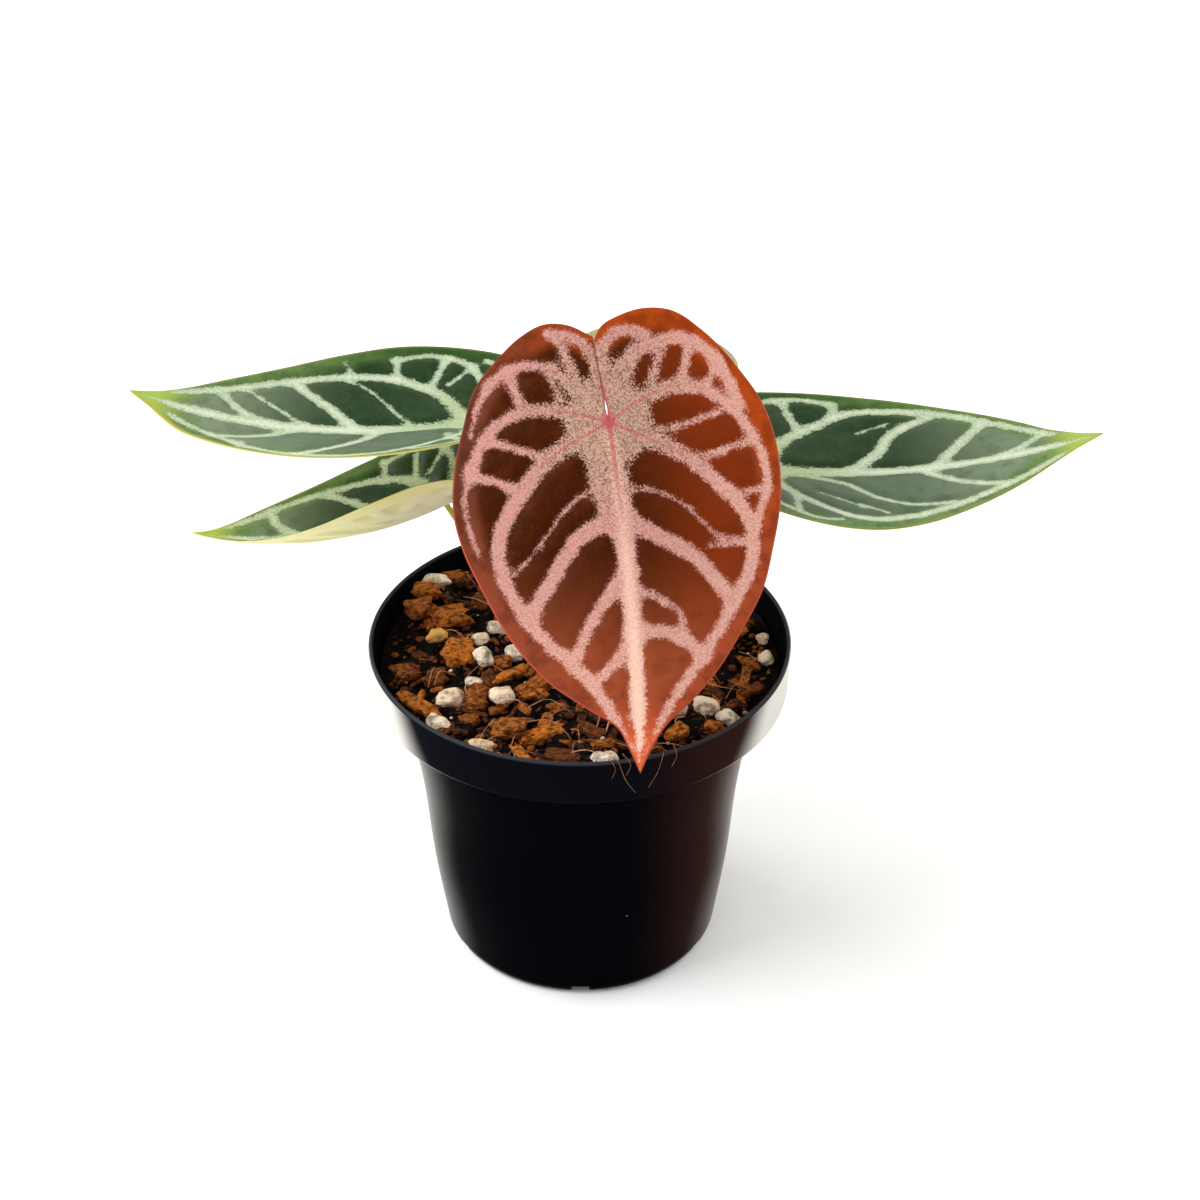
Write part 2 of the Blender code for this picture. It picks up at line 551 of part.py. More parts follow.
def make_blade(name, leaf, colour):
    """A heart-shaped blade: rings of its outline shrunk to the petiole's end, slit at the notch."""
    right_half = smooth_outline(leaf["halves"][0], OUTLINE_STEPS) * (-1.0, 1.0)
    left_half = smooth_outline(leaf["halves"][1], OUTLINE_STEPS)
    outline = np.concatenate([right_half, left_half[-2::-1]]) * leaf["length"]
    count = len(outline)
    rings = np.array(BLADE_RINGS)
    across = np.concatenate([[0.0], (rings[:, None] * outline[None, :, 0]).ravel()])
    along = np.concatenate([[0.0], (rings[:, None] * outline[None, :, 1]).ravel()])
    verts = blade_points(across, along, leaf) * MM
    faces = [(0, 1 + k, 2 + k) for k in range(count - 1)]
    for ring in range(len(rings) - 1):
        start = 1 + ring * count
        for k in range(count - 1):
            corners = (start + k, start + count + k, start + count + k + 1, start + k + 1)
            faces += [corners[:3], (corners[0], corners[2], corners[3])]
    mesh = bpy.data.meshes.new(name)
    mesh.from_pydata(verts.tolist(), [], faces)
    mesh.update()
    blade = new_object(name, mesh)
    wall = blade.modifiers.new("Thickness", "SOLIDIFY")
    wall.thickness = BLADE_THICKNESS * MM
    wall.offset = -1.0
    shade(blade, 60.0)
    mesh.materials.append(finish_material(name, colour, 0.45))


def make_petiole(name, leaf):
    """A petiole: up from the stem's knob, arching over to meet the blade square from below."""
    turn, rise = (math.radians(angle) for angle in leaf["knob"])
    out = np.array([math.cos(turn) * math.cos(rise), math.sin(turn) * math.cos(rise), math.sin(rise)])
    start = np.array([*CROWN, KNOB_HEIGHT]) + out * (KNOB_RADIUS + CLEARANCE)
    normal = blade_normal(leaf)
    arrive = normal - np.array([*leaf.get("lean", (0.0, 0.0)), 0.0])
    arrive /= np.linalg.norm(arrive)
    cap_tilt = math.sqrt(max(0.0, 1.0 - float(arrive @ normal) ** 2))
    end = np.array(leaf["at"]) - normal * (BLADE_THICKNESS + CLEARANCE + PETIOLE_RADII[-1][1] * cap_tilt)
    handles = np.array(leaf.get("handles", PETIOLE_HANDLES)) * np.linalg.norm(end - start)
    points = bezier(start, start + out * handles[0], end - arrive * handles[1], end, PETIOLE_POINTS)
    shares = np.linspace(0.0, 1.0, PETIOLE_POINTS)
    radii = np.interp(shares, *zip(*PETIOLE_RADII))
    petiole = rod_curve(name, points, radii)
    petiole.data.materials.append(finish_material(name, (0.3, 0.3, 0.04), 0.4))


def main():
    clear_scene()
    make_pot()
    make_potting_mix()
    make_stem()
    for leaf_name, leaf in LEAVES.items():
        colour = (0.2, 0.035, 0.015) if leaf_name == "red" else (0.03, 0.065, 0.035)
        make_blade(f"blade_{leaf_name}", leaf, colour)
        make_petiole(f"petiole_{leaf_name}", leaf)


main()
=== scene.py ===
"""Looks of a potted anthurium: velvet leaves with pale veins, stalks, a rooted stem, potting mix and a pot.

The origin is the middle of the pot's flat base, +Z is up and the front is -Y. Shapes are worked out in
millimetres and put into their meshes in metres. Each blade is worked out in its own flat plane, across and
along its midrib, and then bent into place.
"""
import functools
import itertools
import math
import random

import bpy
import numpy as np
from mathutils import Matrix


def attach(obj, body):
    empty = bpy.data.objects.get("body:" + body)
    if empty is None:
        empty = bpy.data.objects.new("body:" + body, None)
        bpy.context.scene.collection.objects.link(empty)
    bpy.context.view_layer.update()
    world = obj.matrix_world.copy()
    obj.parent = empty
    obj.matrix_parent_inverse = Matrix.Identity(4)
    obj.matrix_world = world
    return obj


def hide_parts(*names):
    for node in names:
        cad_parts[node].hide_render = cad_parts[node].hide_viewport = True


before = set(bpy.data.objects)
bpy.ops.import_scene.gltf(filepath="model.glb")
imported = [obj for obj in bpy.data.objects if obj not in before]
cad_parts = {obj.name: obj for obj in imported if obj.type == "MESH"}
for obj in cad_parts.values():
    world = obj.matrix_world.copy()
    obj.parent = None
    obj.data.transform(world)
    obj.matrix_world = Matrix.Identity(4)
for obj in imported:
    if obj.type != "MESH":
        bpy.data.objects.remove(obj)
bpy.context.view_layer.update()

bl_info = {
    "name": "Potted anthurium",
    "version": (1, 0, 0),
    "blender": (4, 5, 0),
    "location": "3D View > Sidebar > Anthurium",
    "description": "Builds the leaves, stalks, stem, potting mix and pot of a young anthurium",
    "category": "Add Mesh",
}

MM = 0.001

# The pot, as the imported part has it: radius and height along its outside and the thickness of its wall.
RIM_RADIUS = 52.5
WALL = 1.2
BASE_OUTLINE = ((0.0, 0.0), (10.0, 0.0), (10.8, 1.0), (23.0, 1.0), (24.0, 0.0), (32.0, 0.0))
SIDE_OUTLINE = ((34.2, 0.9), (35.0, 2.6), (38.0, 23.0), (40.2, 46.0), (44.2, 71.0), (45.8, 73.6),
                (51.2, 74.4))
LIP_OUTLINE = ((51.9, 74.9), (52.5, 86.5), (52.0, 87.0), (51.6, 87.0), (51.3, 86.5))
FLOOR_HEIGHT = 2.2
INNER_HEEL = ((32.4, FLOOR_HEIGHT), (33.8, 3.8))
NOTCH_COUNT = 6
NOTCH_TURN = -30.0
NOTCH_SIZE = (7.0, 4.5, 3.6)
NOTCH_RADIUS = 34.0
NOTCH_OVERCUT = 0.8

SOIL_LEVEL = 80.0
SOIL_WAVE_HEIGHT = 0.8
SOIL_WAVES = ((0.21, 1.3), (0.17, -0.4))
SOIL_CROSS_WAVE = (0.6, 0.43, -0.31)
SOIL_DISH = 1.2
MOUND = (-36.0, 26.0, 13.0, 3.4)
SOIL_GAP = 0.3
CROWN = (4.0, 14.0)

MIX_SEED = 31
FILL_RADIUS = 45.0
CROWN_CLEAR_RADIUS = 15.0
FILL_SPACING = 0.62
FILL_PROPORTION = (0.6, 0.95)
LITTER_RADIUS = 48.6
FIBRE_RADIUS = 44.0
THICK_ENOUGH = 6.0

# How the lumps of each piece are made: their thickness and lift as shares of their width, their boxiness, how
# far round noise, ridges and torn ends move their surface, their rings and sides, and their seed.
LUMPS = {
    "husk_chips": (0.55, 0.156, 0.42, (0.24, 0.13, 0.22), (20, 38), 11),
    "perlite_grains": (0.8, 0.2, 0.8, (0.3, 0.12, 0.05), (16, 28), 12),
    "husk_slivers": (0.6, 0.1, 0.45, (0.25, 0.14, 0.3), (8, 14), 15),
    "husk_crumbs": (0.6, 0.1, 0.6, (0.25, 0.1, 0.2), (4, 7), 13),
    "perlite_crumbs": (0.8, 0.2, 0.8, (0.25, 0.1, 0.0), (4, 7), 14),
}

# Each husk chip that shows at the front: x, y, length, width, turn and tone, from 0 for dark to 1 for orange.
HUSK_CHIPS = (
    (-39.5, 25, 6.4, 5.4, 0, 0.7), (-33, 33, 6.4, 3.7, 20, 0.6), (-40.5, 18, 6.4, 6.1, 30, 0.5),
    (-33.5, 16, 8.9, 7.7, 10, 0.85), (-30, 1, 7.8, 9.0, 0, 1.0), (-19.5, -2, 4.2, 5.3, 0, 0.8),
    (-17, -8, 10.2, 3.3, 43, 0.95), (-11.5, -13.5, 10.0, 4.9, 39, 0.5), (-25, -17, 5.9, 7.7, 0, 0.55),
    (-38.5, -21, 12.0, 3.9, -41, 0.75), (-17, -30, 7.6, 7.0, 0, 0.6), (-8.5, -31, 9.8, 4.4, 17, 0.95),
    (-13.5, -39, 9.0, 2.6, -62, 1.0), (-4, -41, 9.4, 5.3, -10, 0.15), (3, -31, 7.6, 3.6, -24, 0.2),
    (-43, -6.5, 6.2, 4.9, 15, 0.3), (-35.5, -8.5, 5.0, 6.1, 0, 0.25), (41.5, 1, 5.4, 2.0, -14, 0.8),
    (41, -8, 9.0, 2.2, 82, 0.8), (33.5, -13, 10.0, 2.2, -77, 0.75), (42, -14, 5.6, 3.2, 31, 0.2),
    (32.5, -28.5, 4.4, 4.2, 0, 0.95), (23.5, -31.5, 6.0, 4.6, 40, 0.9),
)
# Each perlite grain that shows at the front: x, y, length, width, turn and stain, 0 for white to 1 for tan.
PERLITE_GRAINS = (
    (-37, 30, 7.2, 4.6, 0, 0.05), (-36, 8, 5.0, 4.3, 0, 1.0), (-25, 7, 4.4, 3.8, 0, 0.3),
    (-24, -1, 5.0, 6.1, 0, 0.1), (-16, 3, 5.0, 4.9, 0, 0.1), (-31.5, -16.5, 7.6, 5.7, 20, 0.4),
    (-19, -17, 5.9, 4.9, 0, 0.3), (-34, -28.5, 6.6, 4.4, -43, 0.25), (-23, -37.5, 5.9, 4.2, 0, 0.55),
    (6, -42, 5.9, 4.6, 0, 0.15), (46, 10, 3.6, 3.2, 0, 0.3), (46.5, 0.5, 3.6, 4.6, 30, 0.25),
    (31, -21, 6.1, 5.0, 0, 0.25), (36, -24.5, 6.1, 4.6, -51, 0.0),
)
FILL_CHIPS = (16, (5.5, 9.5))
FILL_PERLITE = (12, (3.6, 5.6))

# Fibres that lie on the mix at the front: points of x, y and rise over the mix.
FIBRES = (
    ((-36.0, -4.5, 1.5), (-36.6, -9.0, 2.6), (-37.2, -13.5, 1.0)),
    ((-20.5, -29.0, 3.0), (-22.5, -32.5, 2.4), (-24.0, -35.0, 0.8)),
    ((-13.0, -29.5, 3.2), (-7.0, -30.4, 3.6), (-2.5, -33.5, 1.0)),
    ((-18.0, -20.0, 2.0), (-14.5, -23.0, 3.2), (-12.0, -24.5, 1.2)),
    ((-7.0, -28.0, 3.4), (-4.5, -25.0, 3.0), (-1.5, -22.5, 0.8)),
)
# Fibres that hang over the rim: points of x, y and height.
RIM_FIBRES = (
    ((8.6, -48.0, 84.0), (9.2, -52.0, 87.5), (11.2, -52.6, 82.0), (13.4, -52.4, 78.5)),
    ((19.6, -46.0, 84.0), (20.0, -48.6, 87.8), (18.6, -50.1, 83.0), (16.4, -51.0, 79.0)),
    ((6.8, -49.0, 84.5), (7.4, -52.2, 88.0), (8.6, -52.8, 85.6), (7.8, -53.0, 83.2)),
    ((11.0, -47.5, 84.5), (10.4, -50.5, 88.4), (12.2, -52.0, 86.4), (11.2, -52.5, 83.8)),
    ((22.6, -44.5, 85.0), (22.2, -47.0, 88.8), (23.0, -48.2, 86.2), (21.8, -49.0, 83.6)),
)

# The stem, its roots and its scales.
STEM_OUTLINE = ((2.6, 52.5), (3.9, 60.0), (4.3, 72.0), (4.6, 80.0))
STEM_FOOT = 50.0
KNOB_RADIUS = 6.2
KNOB_HEIGHT = 87.0
ROOT_COUNT = 5
ROOT_TURN = 20.0
ROOT_START_HEIGHT = 64.0
ROOT_START_STEP = 1.5
ROOT_END_HEIGHT = 22.0
ROOT_END_STEP = 5.0
ROOT_REACH = 27.0
ROOT_REACH_STEP = 3.0
ROOT_HANDLES = (18.0, 20.0)
ROOT_RADII = (1.5, 0.9)
SCALE_TURNS = (-125.0, -35.0, 40.0)
SCALE_LENGTH = 15.0
SCALE_LEAN = 14.0
SCALE_HALF_SPREAD = 62.0
SCALE_THICKNESS = 0.35

# How a blade bends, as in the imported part.
BLADE_THICKNESS = 0.8
FOLD_SOFTNESS = 3.0
CURL_REACH = 0.462
PETIOLE_GAP = 0.3
PETIOLE_HANDLES = (0.36, 0.34)
PETIOLE_RADII = ((0.0, 1.8), (0.12, 1.5), (0.35, 1.0), (0.8, 0.72), (0.9, 0.85), (1.0, 0.68))

# A blade's surface, in millimetres and degrees: its rays and rings, how wide the rise beside a band, the flat
# margin and the thin margin are, and the bell curve of rays that the slit between the lobes shifts.
RAYS = 150
RINGS = 76
PUFF_WIDTH = 1.6
FLAT_MARGIN = 5.0
THIN_MARGIN = 3.0
SLIT_SPREAD = 6.0
SLIT_SHIFTS = (0.053, 0.013)
SLIT_OPENING = (0.24, 3.4, 1.5)
LOBE_DROP = 0.45

GREEN_HALF = (
    (0.012, -0.245), (0.06, -0.30), (0.15, -0.315), (0.27, -0.26), (0.375, -0.145), (0.445, 0.02),
    (0.462, 0.19), (0.415, 0.39), (0.315, 0.585), (0.195, 0.755), (0.095, 0.865), (0.045, 0.925), (0.0, 1.0),
)
NARROW_HALF = tuple((across * 0.86, along) for across, along in GREEN_HALF)
RED_LEFT_HALF = (
    (0.012, -0.256), (0.06, -0.298), (0.134, -0.316), (0.205, -0.292), (0.28, -0.239), (0.364, -0.155),
    (0.41, -0.05), (0.455, 0.085), (0.472, 0.21), (0.455, 0.33), (0.416, 0.445), (0.35, 0.594),
    (0.243, 0.736), (0.14, 0.815), (0.056, 0.876), (0.03, 0.93), (0.0, 1.0),
)
RED_RIGHT_HALF = (
    (0.003, -0.247), (0.03, -0.284), (0.087, -0.309), (0.16, -0.322), (0.239, -0.309), (0.328, -0.235),
    (0.411, -0.12), (0.468, -0.01), (0.49, 0.14), (0.475, 0.27), (0.437, 0.39), (0.393, 0.504), (0.32, 0.614),
    (0.236, 0.724), (0.143, 0.815), (0.075, 0.872), (0.035, 0.93), (0.0, 1.0),
)

# Each vein: its first and last half width in millimetres, then its knots. A knot is the turn from the tip in
# degrees, seen from the petiole's end, and the share of the way from there to the margin.
MIDRIB = ((2.6, 1.5), ((0, 0.0), (0, 0.33), (0, 0.66), (0, 0.97)))
LOBE_VEIN = ((1.3, 0.8), ((142, 0.0), (143, 0.45), (132, 0.8), (105, 0.88)))
RED_LEFT_VEINS = (
    ((1.6, 1.0), ((112, 0.0), (111, 0.34), (107, 0.56), (94, 0.8), (79, 0.89))),
    ((0.6, 0.1), ((79, 0.89), (70, 0.92), (60, 0.93), (50, 0.93))),
    ((1.3, 0.8), ((143, 0.0), (143, 0.35), (142, 0.65), (128, 0.87), (116, 0.92))),
    ((0.8, 0.0), ((117, 0.92), (105, 0.935), (92, 0.93))),
    ((1.0, 0.8), ((152, 0.0), (153, 0.42), (157, 0.7), (158, 0.86))),
    ((2.4, 1.4), ((60, 0.06), (30, 0.15), (15, 0.25), (5, 0.36))),
    ((1.4, 0.9), ((178, 0.0), (177, 0.5), (174, 0.78), (166, 0.88), (156, 0.9))),
    ((1.9, 1.0), ((66, 0.0), (64, 0.43), (57, 0.6), (50, 0.79), (43, 0.86), (27, 0.88), (10, 0.91),
                  (0, 0.97))),
    ((1.8, 1.4), ((0, 0.27), (20, 0.44), (26, 0.65), (28, 0.87))),
    ((1.5, 1.0), ((0, 0.43), (7, 0.59), (12, 0.73), (14.5, 0.89))),
    ((1.3, 0.8), ((0, 0.62), (5, 0.8), (9, 0.9))),
    ((0.8, 0.6), ((89, 0.8), (69, 0.42))),
    ((0.9, 0.8), ((77, 0.9), (62, 0.62))),
    ((1.0, 1.0), ((127, 0.87), (112, 0.66))),
    ((0.5, 0.5), ((140, 0.63), (125, 0.42))),
    ((0.3, 0.05), ((16, 0.25), (29, 0.34), (34, 0.45), (35, 0.57), (36.5, 0.7), (38, 0.82))),
)
RED_RIGHT_VEINS = (
    ((1.7, 0.7), ((125, 0.0), (118, 0.3), (110, 0.58), (99, 0.73), (85, 0.83), (66, 0.92), (50, 0.88))),
    ((1.4, 1.3), ((170, 0.0), (165, 0.35), (155, 0.53), (142, 0.7), (128, 0.88), (109, 0.9), (92, 0.84))),
    ((1.5, 1.2), ((178, 0.0), (177, 0.5), (173, 0.8), (160, 0.84), (148, 0.76))),
    ((1.9, 0.8), ((60, 0.0), (61, 0.3), (60, 0.45), (56, 0.6), (49, 0.86), (43, 0.9), (29, 0.9), (17, 0.91),
                  (8, 0.94), (0, 0.97))),
    ((1.9, 1.5), ((0, 0.27), (15, 0.44), (25, 0.61), (29, 0.89))),
    ((1.5, 1.1), ((0, 0.6), (9, 0.74), (14, 0.83), (16, 0.91))),
    ((0.8, 0.5), ((0, 0.48), (9.5, 0.63), (14, 0.73), (12, 0.8))),
    ((0.6, 0.4), ((73, 0.3), (90, 0.7))),
    ((0.7, 0.7), ((65, 0.55), (78, 0.84))),
    ((0.4, 0.3), ((53, 0.7), (64, 0.93))),
    ((0.8, 0.7), ((136, 0.66), (124, 0.42))),
    ((0.8, 0.8), ((152, 0.62), (146, 0.3))),
    ((0.9, 0.9), ((126, 0.84), (111, 0.58))),
    ((0.7, 0.6), ((113, 0.92), (104, 0.72))),
    ((0.2, 0.4), ((33, 0.68), (45, 0.87))),
    ((0.3, 0.1), ((12, 0.25), (27, 0.34), (36, 0.5), (38, 0.68), (42, 0.8))),
)
GREEN_VEINS = (
    ((1.8, 0.9), ((62, 0.0), (60, 0.4), (52, 0.64), (44, 0.84), (34, 0.92), (22, 0.94), (8, 0.96),
                  (0, 0.98))),
    ((1.4, 0.8), ((104, 0.0), (100, 0.5), (88, 0.8), (68, 0.88), (54, 0.9))),
    LOBE_VEIN,
    ((1.6, 1.2), ((0, 0.2), (18, 0.5), (27, 0.72), (29, 0.93))),
    ((1.6, 1.2), ((0, 0.48), (11, 0.72), (17, 0.94))),
    ((1.3, 0.9), ((0, 0.66), (4, 0.85), (7, 0.96))),
    ((0.9, 0.8), ((70, 0.88), (58, 0.54))),
    ((0.7, 0.7), ((54, 0.9), (50, 0.76))),
    ((0.8, 0.8), ((96, 0.72), (75, 0.5))),
    ((0.8, 0.7), ((128, 0.8), (106, 0.55))),
    ((0.15, 0.3), ((36, 0.4), (44, 0.62))),
)
UPPER_LEAF_VEINS = (
    ((1.8, 0.9), ((65, 0.0), (66, 0.47), (53, 0.67), (38, 0.8), (24, 0.87), (10, 0.94), (0, 0.98))),
    ((1.5, 0.7), ((105, 0.0), (104, 0.6), (95, 0.8), (76, 0.89), (60, 0.86))),
    LOBE_VEIN,
    ((1.6, 1.3), ((0, 0.33), (15, 0.54), (24, 0.86))),
    ((0.5, 0.3), ((8, 0.2), (27, 0.37), (38, 0.66), (37, 0.78))),
    ((0.5, 0.4), ((0, 0.46), (10, 0.72), (14, 0.9))),
    ((1.3, 0.9), ((0, 0.58), (4, 0.74), (10, 0.94))),
    ((0.9, 0.8), ((62, 0.88), (54, 0.66))),
    ((1.0, 0.9), ((84, 0.86), (66, 0.52))),
    ((0.4, 0.6), ((98, 0.8), (80, 0.55))),
    ((0.2, 0.5), ((44, 0.93), (41, 0.8))),
)
UPPER_LEAF_NEAR_VEINS = (
    ((1.5, 0.9), ((80, 0.0), (78, 0.5), (60, 0.88), (36, 0.95), (26, 0.94), (10, 0.9), (3, 0.96))),
    ((1.6, 1.4), ((0, 0.27), (18, 0.42), (32, 0.69), (36, 0.93))),
    ((1.3, 1.0), ((0, 0.5), (6, 0.64), (10, 0.78), (11, 0.9))),
    ((0.7, 0.6), ((60, 0.3), (82, 0.8))),
    ((0.6, 0.4), ((16, 0.86), (22, 0.96))),
    ((1.4, 0.8), ((120, 0.0), (116, 0.5), (104, 0.8), (86, 0.9), (68, 0.88))),
    ((1.2, 0.7), ((152, 0.0), (152, 0.45), (140, 0.8), (110, 0.88))),
    ((0.8, 0.7), ((126, 0.84), (112, 0.55))),
    ((0.8, 0.7), ((98, 0.86), (86, 0.5))),
)
LOWER_LEAF_VEINS = (
    ((1.9, 0.9), ((60, 0.0), (57, 0.46), (45, 0.69), (28, 0.88), (14, 0.95), (6, 0.97), (0, 0.98))),
    ((1.3, 0.7), ((104, 0.0), (98, 0.5), (86, 0.8), (68, 0.9), (54, 0.88))),
    LOBE_VEIN,
    ((1.6, 1.3), ((0, 0.22), (23, 0.54), (27, 0.85))),
    ((1.3, 1.5), ((0, 0.55), (6, 0.76), (13, 0.94))),
    ((0.9, 0.8), ((54, 0.9), (46, 0.68))),
    ((0.9, 0.9), ((69, 0.8), (56, 0.46))),
    ((0.6, 0.6), ((88, 0.78), (72, 0.5))),
)
RIGHT_LEAF_NEAR_VEINS = (
    ((1.8, 0.9), ((92, 0.0), (92, 0.35), (78, 0.62), (66, 0.81), (48, 0.88), (30, 0.91), (16, 0.94),
                  (0, 0.97))),
    ((1.4, 0.7), ((125, 0.0), (116, 0.5), (104, 0.8), (86, 0.9), (76, 0.86))),
    ((1.2, 0.7), ((14, 0.12), (24, 0.33), (37, 0.58), (36, 0.74), (28, 0.88))),
    ((1.5, 1.1), ((0, 0.46), (8, 0.6), (14, 0.78), (15, 0.93))),
    ((0.9, 0.8), ((96, 0.84), (88, 0.5))),
    ((1.2, 0.7), ((154, 0.0), (152, 0.45), (140, 0.8), (116, 0.88))),
    ((0.8, 0.7), ((130, 0.84), (116, 0.52))),
    ((0.3, 0.4), ((60, 0.4), (54, 0.66))),
    ((0.3, 0.5), ((52, 0.62), (50, 0.78))),
)
RIGHT_LEAF_FAR_VEINS = (
    ((1.7, 0.9), ((64, 0.0), (62, 0.38), (53, 0.62), (47, 0.83), (38, 0.9), (30, 0.94), (15, 0.95),
                  (5, 0.97))),
    ((1.4, 0.9), ((104, 0.0), (100, 0.5), (88, 0.8), (76, 0.88), (66, 0.92), (56, 0.9))),
    LOBE_VEIN,
    ((1.6, 1.3), ((0, 0.24), (18, 0.5), (28, 0.71), (29, 0.9))),
    ((1.6, 1.2), ((0, 0.5), (11, 0.72), (18, 0.92))),
    ((1.3, 0.9), ((0, 0.68), (4, 0.85), (7, 0.96))),
    ((1.0, 0.9), ((70, 0.86), (58, 0.56))),
    ((0.9, 0.8), ((55, 0.9), (51, 0.78))),
    ((0.8, 0.7), ((96, 0.72), (75, 0.5))),
    ((0.2, 0.4), ((36, 0.62), (34, 0.78))),
)

# Each leaf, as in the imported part, with the veins of its two sides.
LEAVES = {
    "red": dict(at=(7.0, -16.3, 158.2), length=81.3, heading=-77.4, pitch=-45.0, droop=12.0, roll=2.0,
                twist=0.0, fold=(4.0, 4.0), curl=(8.0, 8.0), fold_growth=0.0, sweep=-5.6,
                halves=(RED_LEFT_HALF, RED_RIGHT_HALF), knob=(-80.0, 46.0),
                veins=(RED_LEFT_VEINS, RED_RIGHT_VEINS)),
    "left_upper": dict(at=(-26.6, 22.3, 135.2), length=84.9, heading=187.8, pitch=-4.6, droop=-19.8,
                       roll=11.5, twist=-6.8, fold=(-7.7, -14.6), curl=(-12.2, -0.3), fold_growth=-0.2,
                       sweep=-19.2, halves=(GREEN_HALF, GREEN_HALF), knob=(155.0, 68.0), lean=(2.6, 0.0),
                       handles=(0.5, 0.4), near_rim=1.0, veins=(UPPER_LEAF_VEINS, UPPER_LEAF_NEAR_VEINS)),
    "left_lower": dict(at=(-33.3, 13.1, 118.1), length=65.8, heading=176.2, pitch=-30.7, droop=-41.9,
                       roll=-2.5, twist=2.9, fold=(-6.5, -41.8), curl=(-1.6, -7.5), fold_growth=-0.23,
                       sweep=2.2, lobe_droop=150.0, halves=(GREEN_HALF, GREEN_HALF), knob=(190.0, 14.0),
                       veins=(LOWER_LEAF_VEINS, GREEN_VEINS)),
    "right": dict(at=(46.2, 17.7, 124.8), length=85.9, heading=14.0, pitch=-14.9, droop=-37.3, roll=-5.9,
                  twist=0.8, fold=(-7.4, -4.7), curl=(4.0, -5.5), fold_growth=0.0, sweep=-21.1,
                  halves=(GREEN_HALF, GREEN_HALF), knob=(4.0, 24.0), turned_round=-1.0,
                  veins=(RIGHT_LEAF_NEAR_VEINS, RIGHT_LEAF_FAR_VEINS)),
    "back": dict(at=(17.9, 62.3, 136.7), length=54.5, heading=74.0, pitch=-44.0, droop=14.0, roll=-9.0,
                 twist=0.0, fold=(8.0, 8.0), curl=(8.0, 8.0), fold_growth=0.0, sweep=0.0,
                 halves=(NARROW_HALF, GREEN_HALF), knob=(76.0, 30.0), veins=(GREEN_VEINS, GREEN_VEINS)),
}

# How softly the pale bands join, where they start to narrow towards the tip and by how much, the half width
# from which a vein is a main one, and the radius of the hub as a share of the length, on the red blade and
# on the green ones.
BAND_BLEND = 0.8
TIP_NARROWS = 0.83
TIP_NARROWING = 2.7
MAIN_VEIN = 1.5
HUB_SHARES = (0.12, 0.07)

CAMERA_PLACE = (0.005, -0.5966, 0.4995)
CAMERA_TILT = 56.05
CAMERA_LENS = 87.66
SENSOR_WIDTH = 36.0
FLOOR_HALF = 3.0
LIT_SPOT = (0.0, 0.0, 0.08)

# Settings of nodes that come up often.
SMOOTH = {"interpolation_type": "SMOOTHSTEP"}
COLOURS = {"data_type": "RGBA"}
TIMES = {"operation": "MULTIPLY"}
LESS = {"operation": "SUBTRACT"}


def linear(code):
    """Turns an sRGB hex colour to the linear red, green and blue that shaders use."""
    parts = [int(code[k:k + 2], 16) / 255.0 for k in (1, 3, 5)]
    return tuple(c / 12.92 if c <= 0.04045 else ((c + 0.055) / 1.055) ** 2.4 for c in parts)


def set_inputs(tree, pairs):
    """Links each socket to a value that is a socket, or gives it the value, a colour with full cover."""
    for socket, value in pairs:
        if isinstance(value, bpy.types.NodeSocket):
            tree.links.new(value, socket)
        else:
            socket.default_value = (*value, 1.0) if socket.type == "RGBA" else value


def add_node(tree, kind, *values, output=None, inputs=None, **settings):
    """Adds a shader node with its settings, fills its inputs in order or by name, and gives one output."""
    node = tree.nodes.new("ShaderNode" + kind)
    for name, value in settings.items():
        setattr(node, name, value)
    set_inputs(tree, zip([socket for socket in node.inputs if socket.enabled], values))
    set_inputs(tree, [(node.inputs[name], value) for name, value in (inputs or {}).items()])
    return node.outputs[output] if output else next(socket for socket in node.outputs if socket.enabled)


def product(add, *terms):
    """The product of terms: values, or tuples of a value, its range, and the range it smoothly turns to."""
    values = [add("MapRange", *term, **SMOOTH) if isinstance(term, tuple) else term for term in terms]
    return functools.reduce(lambda first, second: add("Math", first, second, **TIMES), values)


def layered(add, colour, *layers):
    """Lays colours over a colour: each layer is a colour and the terms whose product is its share."""
    for over, *terms in layers:
        colour = add("Mix", product(add, *terms), colour, over, **COLOURS)
    return colour


def new_material(name):
    """A material, and the function that adds nodes to its tree."""
    material = bpy.data.materials.new(name)
    material.use_nodes = True
    return material, functools.partial(add_node, material.node_tree)


def finish(material, colour, roughness, normal=None, shine=None):
    """Gives the material's shader its colour, roughness and normal, and other sockets' values by name."""
    values = {"Base Color": colour, "Roughness": roughness, **(shine or {})}
    if normal:
        values["Normal"] = normal
    sockets = material.node_tree.nodes["Principled BSDF"].inputs
    set_inputs(material.node_tree, [(sockets[name], value) for name, value in values.items()])
    return material


def lattice_noise(points, cell, seed=0):
    """Smooth noise from -1 to 1: random values at the corners of a grid of cells, blended inside each."""
    at = np.asarray(points, float) / cell
    base = np.floor(at).astype(np.int64)
    part = at - base
    part = part * part * (3.0 - 2.0 * part)
    total = 0.0
    for corner in itertools.product((0, 1), repeat=3):
        key = ((base + corner) @ np.array([7919, 104729, 1299709]) + seed * 15485863) % 2097143
        value = np.abs(np.sin(key * 12.9898) * 43758.5453) % 1.0
        total = total + value * np.prod(np.where(corner, part, 1.0 - part), axis=-1)
    return total * 2.0 - 1.0


